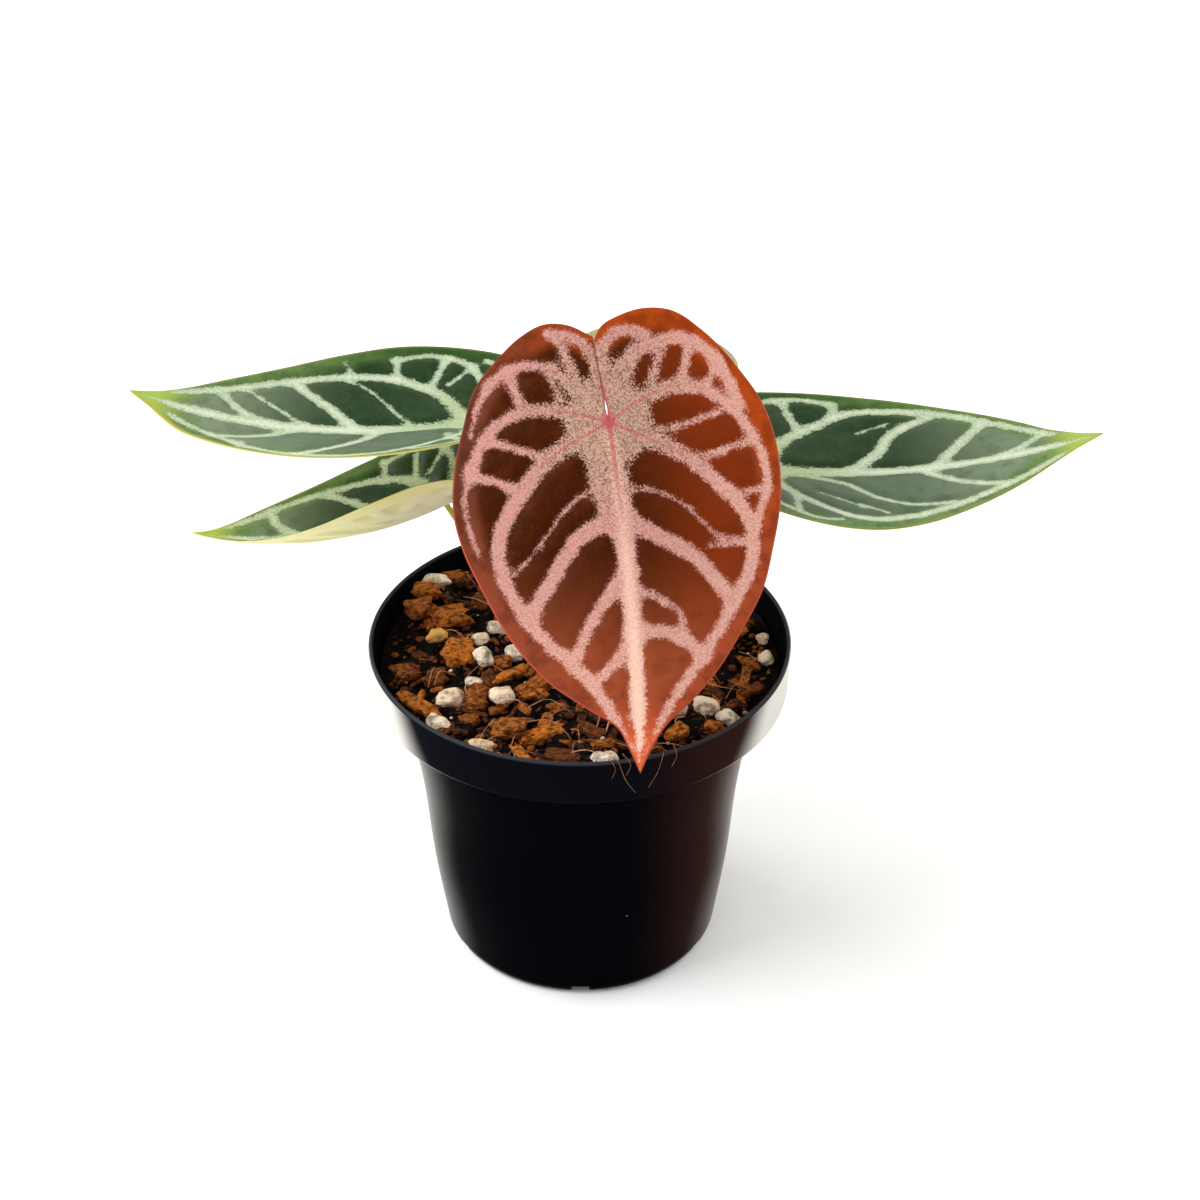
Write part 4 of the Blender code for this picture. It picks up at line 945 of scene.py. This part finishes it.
def turn_matrix(about_x, about_y, about_z):
    """Turns about X, then Y, then Z, as one matrix."""
    cx, cy, cz = (math.cos(a) for a in (about_x, about_y, about_z))
    sx, sy, sz = (math.sin(a) for a in (about_x, about_y, about_z))
    return (np.array([[cz, -sz, 0], [sz, cz, 0], [0, 0, 1]])
            @ np.array([[cy, 0, sy], [0, 1, 0], [-sy, 0, cy]])
            @ np.array([[1, 0, 0], [0, cx, -sx], [0, sx, cx]]))


def lay_lumps(name, bits, material):
    """A piece of lumps, each turned, tilted and set into the mix, with its own tone.

    Each is roughened by round noise and by noise drawn out along its fibres, and its ends are torn: they move
    along the fibres by noise that only changes across them.
    """
    thickness_share, lift, boxiness, (round_noise, ridges, tears), detail, seed = LUMPS[name]
    rng = random.Random(seed)
    parts, tones, grains = [], [], []
    for number, (x, y, length, width, turn, tone) in enumerate(bits):
        least = min(length, width, THICK_ENOUGH)
        points, quads, triangles = lump(length, width, thickness_share * least, boxiness, *detail)
        coarse = lattice_noise(points + number * 31.7, 1.9, seed)
        ridged = lattice_noise(points * (0.3, 1.0, 1.0) + number * 17.3, 0.7, seed + 5)
        torn = lattice_noise(points * (0.0, 1.0, 1.0) + number * 11.9, 0.8, seed + 9)
        ends = np.sign(points[:, 0]) * (np.abs(points[:, 0]) / (length / 2)) ** 3
        points = points * (1.0 + round_noise * coarse + ridges * ridged)[:, None]
        points[:, 0] += tears * length * ends * torn
        tilt_x, tilt_y = (math.radians(rng.uniform(-9.0, 9.0)) for _ in range(2))
        grains.append(points * (0.22, 1.0, 1.0) + number * 7.0)
        points = points @ turn_matrix(tilt_x, tilt_y, math.radians(turn)).T
        parts.append((points + (x, y, soil_height(x, y) + lift * least), quads, triangles))
        tones.append(np.full(len(points), tone))
    attributes = {"tone": np.concatenate(tones), "grain": np.concatenate(grains)}
    new_piece(name, gather(parts), material, (), attributes)


def build_pot(look):
    """The pot: its outline turned about Z with soft corners, and a box cut out for each drain notch."""
    hollow = pot_hollow()
    wall = smooth_line(SIDE_OUTLINE[1:5], 30)
    inner = smooth_line(hollow[2:5], 24)
    outline = [*BASE_OUTLINE, SIDE_OUTLINE[0], *wall, *SIDE_OUTLINE[5:], *LIP_OUTLINE, *hollow[:4:-1],
               *inner[::-1], *hollow[1::-1], (0.0, FLOOR_HEIGHT)]
    shape = turned(rounded(outline, look.corner / MM), 180)
    pot = new_piece("nursery_pot", shape, moulded_polypropylene(look), ("pot",))
    corners = np.array(list(itertools.product((-0.5, 0.5), repeat=3))) * NOTCH_SIZE
    quads = np.array([(0, 1, 3, 2), (4, 6, 7, 5), (0, 4, 5, 1), (2, 3, 7, 6), (0, 2, 6, 4), (1, 5, 7, 3)])
    boxes = []
    for index in range(NOTCH_COUNT):
        turn = math.radians(NOTCH_TURN + index * 360.0 / NOTCH_COUNT)
        middle = (NOTCH_RADIUS * math.cos(turn), NOTCH_RADIUS * math.sin(turn),
                  NOTCH_SIZE[2] / 2 - NOTCH_OVERCUT)
        boxes.append((corners @ turn_matrix(0, 0, turn).T + middle, quads, np.zeros((0, 3), int)))
    points, quads, _ = gather(boxes)
    mesh = bpy.data.meshes.new("notch_cutters")
    mesh.from_pydata((points * MM).tolist(), [], quads.tolist())
    cutter = bpy.data.objects.new("notch_cutters", mesh)
    bpy.context.scene.collection.objects.link(cutter)
    cut = pot.modifiers.new("Notches", "BOOLEAN")
    cut.operation = "DIFFERENCE"
    cut.object = cutter
    bpy.context.view_layer.update()
    pot.data = bpy.data.meshes.new_from_object(pot.evaluated_get(bpy.context.evaluated_depsgraph_get()))
    pot.modifiers.clear()
    bpy.data.objects.remove(cutter, do_unlink=True)
    pot.data.shade_smooth()
    pot.data.set_sharp_from_angle(angle=math.radians(50.0))


def build_soil(look):
    """The soil: the pot's hollow drawn in by a gap, closed by a top of waves with noise in two sizes."""
    wall = [(radius - SOIL_GAP, height + SOIL_GAP) for radius, height in pot_hollow()]
    top_radius = wall[-1][0]
    rings = [(radius, SOIL_LEVEL) for radius in np.linspace(top_radius, 0.0, 90)]
    points, quads, triangles = turned(np.array([(0.0, FLOOR_HEIGHT + SOIL_GAP), *wall, *rings]), 210)
    top = points[:, 2] >= SOIL_LEVEL - 1e-6
    x, y = points[top, 0], points[top, 1]
    spots = points[top] * (1.0, 1.0, 0.0)
    crumbs = 1.1 * lattice_noise(spots, 3.4, 3) + 1.0 * lattice_noise(spots, 1.4, 4) - 0.5
    points[top, 2] = soil_height(x, y) + crumbs * np.clip((top_radius - np.hypot(x, y)) / 2.0, 0.0, 1.0)
    new_piece("soil", (points, quads, triangles), damp_soil(look), ("potting_mix",))


def build_litter(look):
    """Small crumbs, chips and slivers between the big ones: lumps by a seeded rule on the mix's height."""
    rng = random.Random(MIX_SEED + 2)
    slivers, crumbs, dust = [], [], []
    for number in range(look.slivers + look.crumbs):
        sliver = number < look.slivers
        length = rng.uniform(3.0, 6.4) if sliver else rng.uniform(0.9, 2.8)
        distance, turn = (LITTER_RADIUS - length / 2) * math.sqrt(rng.random()), rng.uniform(0.0, math.tau)
        place = (distance * math.cos(turn), distance * math.sin(turn))
        width, spin = length * rng.uniform(0.2, 0.6 if sliver else 0.9), rng.uniform(-90.0, 90.0)
        if sliver:
            slivers.append((*place, length, width, spin, rng.uniform(0.0, 1.0) ** 2.2))
        elif rng.random() < 0.93:
            crumbs.append((*place, length, width, spin, rng.uniform(0.0, 0.8) ** 3.0))
        else:
            dust.append((*place, length * 0.6, length * 0.5, spin, rng.uniform(0.0, 0.6)))
    for name, bits, material in (("husk_slivers", slivers, "coconut_husk"),
                                 ("husk_crumbs", crumbs, "coconut_husk"),
                                 ("perlite_crumbs", dust, "expanded_perlite")):
        lay_lumps(name, bits, bpy.data.materials[material])


def build_fibres(look):
    """Coir fibres: thin tubes along smooth lines, those seen at the front and more by a seeded rule."""
    rng = random.Random(MIX_SEED + 3)
    lines = [[(x, y, soil_height(x, y) + rise) for x, y, rise in fibre] for fibre in FIBRES]
    lines += RIM_FIBRES
    for _ in range(look.fibres):
        distance, turn = FIBRE_RADIUS * math.sqrt(rng.random()), rng.uniform(0.0, math.tau)
        way, bend, reach = rng.uniform(0.0, math.tau), rng.uniform(-0.6, 0.6), rng.uniform(2.4, 6.5)
        line = []
        for step, rise in ((-1, 0.8), (0, 2.6), (1, 0.8)):
            x = distance * math.cos(turn) + step * reach * math.cos(way + bend * step)
            y = distance * math.sin(turn) + step * reach * math.sin(way + bend * step)
            shrink = min(1.0, 46.5 / math.hypot(x, y))
            x, y = x * shrink, y * shrink
            line.append((x, y, soil_height(x, y) + rise))
        lines.append(line)
    parts, tones = [], []
    for line in lines:
        at_rim = line in RIM_FIBRES
        thick = 0.075 if at_rim else rng.uniform(0.1, 0.22)
        parts.append(tube(smooth_line(line, 14), np.linspace(thick, thick * 0.5, 14), 5, (0.02, 0.03, 1.0)))
        tones.append(np.full(len(parts[-1][0]), 0.0 if at_rim else rng.uniform(0.0, 1.0)))
    attributes = {"tone": np.concatenate(tones)}
    new_piece("coir_fibres", gather(parts), coir_fibre(look), (), attributes)


def build_stem(look):
    """The stem with its knob, turned about its axis and ringed, and its roots as tubes on smooth lines."""
    angles = np.radians(np.linspace(-40.0, 88.0, 16))
    knob = np.stack([KNOB_RADIUS * np.cos(angles), KNOB_HEIGHT + KNOB_RADIUS * np.sin(angles)], axis=-1)
    side = smooth_line([*STEM_OUTLINE, tuple(knob[0])], 40)
    side[:, 0] += 0.18 * np.sin(side[:, 1] * 1.9)
    outline = np.concatenate([[(0.0, STEM_FOOT)], side, knob[1:], [(0.0, KNOB_HEIGHT + KNOB_RADIUS)]])
    points, quads, triangles = turned(outline, 48, CROWN)
    points = points + 0.25 * lattice_noise(points, 2.4, 6)[:, None] * (1.0, 1.0, 0.3)
    parts = [(points, quads, triangles)]
    for index in range(ROOT_COUNT):
        turn = math.radians(ROOT_TURN + index * 360.0 / ROOT_COUNT)
        out = np.array([math.cos(turn), math.sin(turn), 0.0])
        start = np.array([*CROWN, ROOT_START_HEIGHT - ROOT_START_STEP * index])
        end = np.array([0.0, 0.0, ROOT_END_HEIGHT + ROOT_END_STEP * (index % 3)])
        end += out * (ROOT_REACH - ROOT_REACH_STEP * (index % 2))
        path = bezier(start, start + out * ROOT_HANDLES[0], end + np.array([0, 0, ROOT_HANDLES[1]]), end, 30)
        parts.append(tube(path, np.linspace(*ROOT_RADII, 30), 12, np.cross(out, (0, 0, 1)) + (0, 0, 0.01)))
    new_piece("rooted_stem", gather(parts), woody_stem(look), ("stem_and_roots",))


def build_scales(look):
    """Papery scales round the knob: part of a cone's side that narrows to a point, with a thin wall."""
    share = np.linspace(0.0, 1.0, 26)[:, None]
    spread = np.linspace(-1.0, 1.0, 17)[None]
    flare = math.tan(math.radians(SCALE_LEAN))
    cone = KNOB_RADIUS + 0.5 + share * SCALE_LENGTH * flare * 0.5 - 1.6 * share ** 2
    height = KNOB_HEIGHT - 3.0 + share * (SCALE_LENGTH + 1.5) + 0.0 * spread
    parts = []
    for number, turn in enumerate(SCALE_TURNS):
        angle = math.radians(turn) + spread * math.radians(SCALE_HALF_SPREAD) * (1.0 - share ** 1.7)
        radius = cone + 0.35 * np.sin(spread * 9.0 + number) * share
        outer, inner = (np.stack([CROWN[0] + (radius - inset) * np.cos(angle),
                                  CROWN[1] + (radius - inset) * np.sin(angle), height], axis=-1)
                        for inset in (0.0, SCALE_THICKNESS))
        loop = np.concatenate([outer, inner[:, ::-1]], axis=1)
        parts.append(skin(loop, loop[0].mean(axis=0), loop[-1].mean(axis=0)))
    new_piece("papery_scales", gather(parts), papery_scale(look), ())


def build_petiole(name, leaf, material):
    """A petiole: a tube on the smooth line from knob to blade, thick at its foot, swollen at its top."""
    turn, rise = (math.radians(angle) for angle in leaf["knob"])
    out = np.array([math.cos(turn) * math.cos(rise), math.sin(turn) * math.cos(rise), math.sin(rise)])
    start = np.array([*CROWN, KNOB_HEIGHT]) + out * (KNOB_RADIUS + PETIOLE_GAP)
    normal = blade_normal(leaf)
    arrive = normal - np.array([*leaf.get("lean", (0.0, 0.0)), 0.0])
    arrive /= np.linalg.norm(arrive)
    tilt = math.sqrt(max(0.0, 1.0 - float(arrive @ normal) ** 2))
    end = np.array(leaf["at"]) - normal * (BLADE_THICKNESS + PETIOLE_GAP + PETIOLE_RADII[-1][1] * tilt)
    handles = np.array(leaf.get("handles", PETIOLE_HANDLES)) * np.linalg.norm(end - start)
    points = bezier(start, start + out * handles[0], end - arrive * handles[1], end, 70)
    points = np.concatenate([[points[0] - out * 1.2], points, [end + arrive * 0.5]])
    shares = np.linspace(0.0, 1.0, len(points))
    across = np.cross(end - start, (0.0, 0.0, 1.0)) + (0.0, 0.0, 1e-3)
    if np.linalg.norm(across[:2]) < 1.0:
        across = np.array([1.0, 0.0, 0.0])
    shape = tube(points, np.interp(shares, *zip(*PETIOLE_RADII)), 20, across / np.linalg.norm(across))
    along = np.concatenate([[0.0], np.repeat(shares, 20), [1.0]])
    new_piece(f"stalk_{name}", shape, material, (f"petiole_{name}",), {"along": along})


def build_stage(look):
    """A white floor and surroundings, a large soft light at the left, one at each side, and the camera."""
    scene = bpy.context.scene
    mesh = bpy.data.meshes.new("studio_floor")
    corners = [(x * FLOOR_HALF, y * FLOOR_HALF, 0.0) for x, y in ((-1, -1), (1, -1), (1, 1), (-1, 1))]
    mesh.from_pydata(corners, [], [(0, 1, 2, 3)])
    mesh.materials.append(studio_paper(look))
    floor = bpy.data.objects.new("studio_floor", mesh)
    scene.collection.objects.link(floor)

    world = bpy.data.worlds.new("white_studio")
    world.use_nodes = True
    background = world.node_tree.nodes["Background"]
    background.inputs["Color"].default_value = (1.0, 1.0, 1.0, 1.0)
    background.inputs["Strength"].default_value = look.surround
    scene.world = world
    scene.view_settings.view_transform = "Standard"
    for name, place, size, power in (("key_light", (-0.7, -0.25, 0.95), 0.7, look.key_power),
                                     ("left_light", (-0.75, 0.35, 0.25), 0.5, look.side_power),
                                     ("right_light", (0.75, 0.45, 0.25), 0.5, look.side_power)):
        light = bpy.data.lights.new(name, "AREA")
        light.energy = power
        light.size = size
        lamp = bpy.data.objects.new(name, light)
        lamp.location = place
        way = np.array(LIT_SPOT) - place
        lamp.rotation_euler = (math.atan2(math.hypot(way[0], way[1]), -way[2]), 0.0,
                               math.atan2(way[1], way[0]) - math.pi / 2)
        scene.collection.objects.link(lamp)

    data = bpy.data.cameras.new("camera")
    data.lens = CAMERA_LENS
    data.sensor_width = SENSOR_WIDTH
    camera = bpy.data.objects.new("camera", data)
    camera.location = CAMERA_PLACE
    camera.rotation_euler = (math.radians(CAMERA_TILT), 0.0, 0.0)
    scene.collection.objects.link(camera)
    scene.camera = camera


def colour_property(name, description, code):
    """A colour that a user can change, with its sRGB default."""
    return bpy.props.FloatVectorProperty(name=name, description=description, default=linear(code),
                                         subtype="COLOR", size=3, min=0.0, max=1.0)


def length_property(name, description, default, least, most):
    """A length that a user can change, in metres."""
    return bpy.props.FloatProperty(name=name, description=description, default=default, unit="LENGTH",
                                   min=least, max=most)


def share_property(name, description, default):
    """A share from 0 to 1 that a user can change."""
    return bpy.props.FloatProperty(name=name, description=description, default=default, min=0.0, max=1.0,
                                   subtype="FACTOR")


# What a user can change on the blades: name, description, and the defaults of the red and of the green ones.
LEAF_SHARES = {
    "slit_closed": ("Slit closed", "How far the lobes meet along the slit", (1.0, 0.0)),
    "sparkle": ("Sparkle", "How strongly the bands' grain shows", (0.7, 0.45)),
    "core_strength": ("Core strength", "How strongly the vein cores show", (0.7, 0.35)),
    "rim_upper": ("Upper rim", "How strongly the rim shows round the lobes", (0.15, 0.9)),
}
LEAF_COLOURS = {
    "panel": ("Panel", "Tone between the veins at the left or far side", ("#3b1500", "#1e3417")),
    "panel_side": ("Side panel", "Tone between the veins at the right or near side", ("#762a08", "#53634b")),
    # Side panel and right margin are partly painted light: sheen on the green blades, light through the red
    # one.
    "panel_low": ("Low panel", "Tone between the veins near the tip", ("#9c4a2c", "#748267")),
    "panel_light": ("Light panel", "Lighter mottles between the veins", ("#5e2408", "#34482f")),
    "panel_fleck": ("Panel flecks", "Small flecks between the veins", ("#7a3c16", "#5a6f52")),
    "margin_left": ("Left margin", "Margin at the left or far side", ("#5c3020", "#2a4a16")),
    # Partly painted light, like the side panel.
    "margin_right": ("Right margin", "Margin at the right or near side", ("#a84210", "#5d7747")),
    "margin_low": ("Low margin", "Margin near the tip", ("#96462e", "#5f7a3e")),
    "tip": ("Tip", "Tip of the blade", ("#cb5a30", "#93a748")),
    "band": ("Band", "Pale bands along the veins", ("#c99288", "#a8b696")),
    "band_low": ("Low band", "Pale bands near the tip", ("#dfa895", "#b2be9e")),
    "band_middle": ("Middle of the bands", "Paler line along the middle of a band", ("#f4cbb4", "#c6cfb4")),
    "band_hub": ("Hub", "Pale patch round the petiole's end", ("#bc9884", "#a2b086")),
    "band_shade": ("Band shade", "Dark side of the bands' grain", ("#724438", "#697c60")),
    "core": ("Vein core", "Thin line along a main vein", ("#b24650", "#a3b57f")),
    "rim": ("Rim", "Thin line along the margin", ("#a94836", "#a09a42")),
    # Painted light: the green underside tones are paler than their own colour, standing in for light shining
    # through the blade.
    "underside": ("Underside", "Lower face between the veins", ("#8f4a3e", "#dfd994")),
    "underside_vein": ("Underside veins", "Veins on the lower face", ("#b97f74", "#e8e5c6")),
}


def leaf_properties(green):
    """The properties of a blade's look, with the defaults of the red blade, or of the green ones."""
    properties = {
        "thickness": length_property("Thickness", "Thickness of a blade away from its margin",
                                     0.0006, 0.0002, 0.002),
        "puff": length_property("Puff", "Rise of the panels between the veins", 0.0007, 0.0, 0.002),
        "rim_width": length_property("Rim width", "Width of the thin line along the margin",
                                     (0.0005, 0.0012)[green], 0.0, 0.002),
        "raggedness": bpy.props.FloatProperty(name="Raggedness", min=0.0, max=5.0, default=(2.0, 1.7)[green],
                                              description="How far the bands' ragged edges reach, in mm"),
    }
    for make, rows in ((share_property, LEAF_SHARES), (colour_property, LEAF_COLOURS)):
        for key, (name, description, defaults) in rows.items():
            properties[key] = make(name, description, defaults[green])
    return properties


class LeafLook(bpy.types.PropertyGroup):
    """Sizes and colours of the red blade."""
    __annotations__ = leaf_properties(False)


class GreenLeafLook(bpy.types.PropertyGroup):
    """Sizes and colours of the green blades."""
    __annotations__ = leaf_properties(True)


class StemLook(bpy.types.PropertyGroup):
    """Colours of the stalks, the stem and its scales."""
    stalk: colour_property("Stalk", "Yellow-green of the stalks", "#98982a")
    stalk_light: colour_property("Light stalk", "Lighter stripes of the stalks", "#c4b83c")
    stalk_foot: colour_property("Stalk foot", "Flush at the foot of the stalks", "#7c5a34")
    stem: colour_property("Stem", "Green of the stem", "#5f6a35")
    stem_cork: colour_property("Cork", "Corky patches of the stem", "#7d6340")
    root: colour_property("Roots", "Buried roots", "#b49c78")
    scale_dark: colour_property("Dark scale", "Dark ribs of the scales", "#5e3a22")
    scale_light: colour_property("Light scale", "Light ribs of the scales", "#a5794f")


class PotLook(bpy.types.PropertyGroup):
    """Corner radius and colours of the pot."""
    corner: length_property("Corner radius", "How soft the moulded corners are", 0.0006, 0.0001, 0.003)
    plastic: colour_property("Plastic", "Black of the pot", "#030306")
    band: colour_property("Band", "Black of the pot's band", "#090a10")
    flank: colour_property("Flank", "Tint of what the pot's sides mirror", "#dcd8d2")
    # Painted reflection: a brown tone laid on the outside of the pot's right side.
    painted_warm_reflection: colour_property("Warm flank", "Brown tone of the pot's right side", "#26130e")
    # Painted highlight: a grey line along the top of the lip.
    lip: colour_property("Lip", "Worn edge of the lip", "#3a3c40")
    dust: colour_property("Dust", "Specks of dust on the pot", "#6d6a66")


class MixLook(bpy.types.PropertyGroup):
    """Counts and colours of the potting mix."""
    slivers: bpy.props.IntProperty(name="Slivers", description="How many middling slivers lie in the mix",
                                   default=190, min=0, max=400)
    crumbs: bpy.props.IntProperty(name="Crumbs", description="How many small crumbs lie in the mix",
                                  default=1100, min=0, max=1500)
    fibres: bpy.props.IntProperty(name="Fibres", default=70, min=0, max=300,
                                  description="How many fibres lie on the mix by the seeded rule")
    soil: colour_property("Soil", "Dark of the soil", "#070403")
    soil_light: colour_property("Light soil", "Lighter crumbs of the soil", "#2a160b")
    husk: colour_property("Husk", "Pith of a bright chip", "#a4500f")
    husk_bright: colour_property("Bright husk", "Fibres of a bright chip", "#ea963a")
    husk_brown: colour_property("Brown husk", "Fibres of a dark chip", "#6a351a")
    husk_dark: colour_property("Dark husk", "Pith of a dark chip", "#210e07")
    fibre: colour_property("Fibre", "Orange coir fibres", "#a8642c")
    fibre_pale: colour_property("Pale fibre", "Pale dry fibres", "#cfa67c")
    perlite: colour_property("Perlite", "Clean perlite", "#f2e9d8")
    perlite_tan: colour_property("Tan perlite", "Stained perlite", "#cf9a4a")
    perlite_grime: colour_property("Grime", "Soil on the perlite", "#7d634a")


class StageLook(bpy.types.PropertyGroup):
    """Light and floor of the studio."""
    floor: colour_property("Floor", "White of the floor", "#fbfbfb")
    key_power: bpy.props.FloatProperty(name="Key light", default=9.0, unit="POWER", min=0.0, max=500.0,
                                       description="Power of the large soft light at the left")
    side_power: bpy.props.FloatProperty(name="Side lights", default=5.0, unit="POWER", min=0.0, max=500.0,
                                        description="Power of the two soft lights at the sides")
    surround: bpy.props.FloatProperty(name="Surround", description="Brightness of the white surroundings",
                                      default=0.85, min=0.0, max=5.0)


class ANTHURIUM_OT_pot(bpy.types.Operator):
    """Builds the nursery pot"""
    bl_idname = "anthurium.pot"
    bl_label = "Pot"

    def execute(self, context):
        build_pot(context.scene.anthurium_pot)
        return {"FINISHED"}


class ANTHURIUM_OT_soil(bpy.types.Operator):
    """Builds the soil"""
    bl_idname = "anthurium.soil"
    bl_label = "Soil"

    def execute(self, context):
        build_soil(context.scene.anthurium_mix)
        return {"FINISHED"}


class ANTHURIUM_OT_husk(bpy.types.Operator):
    """Builds the coconut husk chips: boxy lumps with noise, ridged along their fibres"""
    bl_idname = "anthurium.husk"
    bl_label = "Husk chips"

    def execute(self, context):
        lay_lumps("husk_chips", all_bits()[0], coconut_husk(context.scene.anthurium_mix))
        return {"FINISHED"}


class ANTHURIUM_OT_perlite(bpy.types.Operator):
    """Builds the perlite grains: rounded lumps with noise"""
    bl_idname = "anthurium.perlite"
    bl_label = "Perlite"

    def execute(self, context):
        lay_lumps("perlite_grains", all_bits()[1], expanded_perlite(context.scene.anthurium_mix))
        return {"FINISHED"}


class ANTHURIUM_OT_litter(bpy.types.Operator):
    """Builds the small crumbs; the chips and the perlite come first"""
    bl_idname = "anthurium.litter"
    bl_label = "Crumbs"

    def execute(self, context):
        build_litter(context.scene.anthurium_mix)
        return {"FINISHED"}


class ANTHURIUM_OT_fibres(bpy.types.Operator):
    """Builds the coir fibres"""
    bl_idname = "anthurium.fibres"
    bl_label = "Fibres"

    def execute(self, context):
        build_fibres(context.scene.anthurium_mix)
        return {"FINISHED"}


class ANTHURIUM_OT_stem(bpy.types.Operator):
    """Builds the stem with its roots and scales"""
    bl_idname = "anthurium.stem"
    bl_label = "Stem, roots and scales"

    def execute(self, context):
        build_stem(context.scene.anthurium_stem)
        build_scales(context.scene.anthurium_stem)
        return {"FINISHED"}


class ANTHURIUM_OT_stalks(bpy.types.Operator):
    """Builds the petioles"""
    bl_idname = "anthurium.stalks"
    bl_label = "Petioles"

    def execute(self, context):
        material = waxy_stalk(context.scene.anthurium_stem)
        for name, leaf in LEAVES.items():
            build_petiole(name, leaf, material)
        return {"FINISHED"}


class ANTHURIUM_OT_blades(bpy.types.Operator):
    """Builds the blades"""
    bl_idname = "anthurium.blades"
    bl_label = "Blades"

    def execute(self, context):
        scene = context.scene
        for name, leaf in LEAVES.items():
            build_blade(name, leaf, scene.anthurium_red if name == "red" else scene.anthurium_green)
        return {"FINISHED"}


class ANTHURIUM_OT_stage(bpy.types.Operator):
    """Builds the floor, the lights and the camera"""
    bl_idname = "anthurium.stage"
    bl_label = "Stage"

    def execute(self, context):
        build_stage(context.scene.anthurium_stage)
        return {"FINISHED"}


class ANTHURIUM_PT_panel(bpy.types.Panel):
    """Lists the pieces and their looks"""
    bl_idname = "ANTHURIUM_PT_panel"
    bl_label = "Potted anthurium"
    bl_space_type = "VIEW_3D"
    bl_region_type = "UI"
    bl_category = "Anthurium"

    def draw(self, context):
        column = self.layout.column()
        for operator in OPERATORS:
            column.operator(operator.bl_idname)
        for name in LOOKS:
            box = self.layout.box()
            group = getattr(context.scene, name)
            for key in type(group).__annotations__:
                box.prop(group, key)


OPERATORS = (ANTHURIUM_OT_pot, ANTHURIUM_OT_soil, ANTHURIUM_OT_husk, ANTHURIUM_OT_perlite,
             ANTHURIUM_OT_litter, ANTHURIUM_OT_fibres, ANTHURIUM_OT_stem, ANTHURIUM_OT_stalks,
             ANTHURIUM_OT_blades, ANTHURIUM_OT_stage)
LOOKS = {"anthurium_red": LeafLook, "anthurium_green": GreenLeafLook, "anthurium_stem": StemLook,
         "anthurium_pot": PotLook, "anthurium_mix": MixLook, "anthurium_stage": StageLook}


def register():
    """Registers the looks, the operators and the panel."""
    for item in (*LOOKS.values(), *OPERATORS, ANTHURIUM_PT_panel):
        bpy.utils.register_class(item)
    for name, look in LOOKS.items():
        setattr(bpy.types.Scene, name, bpy.props.PointerProperty(type=look))


def unregister():
    """Takes the looks, the operators and the panel away again."""
    for name in LOOKS:
        delattr(bpy.types.Scene, name)
    for item in reversed((*LOOKS.values(), *OPERATORS, ANTHURIUM_PT_panel)):
        bpy.utils.unregister_class(item)


def main():
    """Builds every piece and the stage."""
    register()
    for operator in OPERATORS:
        group, name = operator.bl_idname.split(".")
        getattr(getattr(bpy.ops, group), name)()


if __name__ == "__main__":
    main()
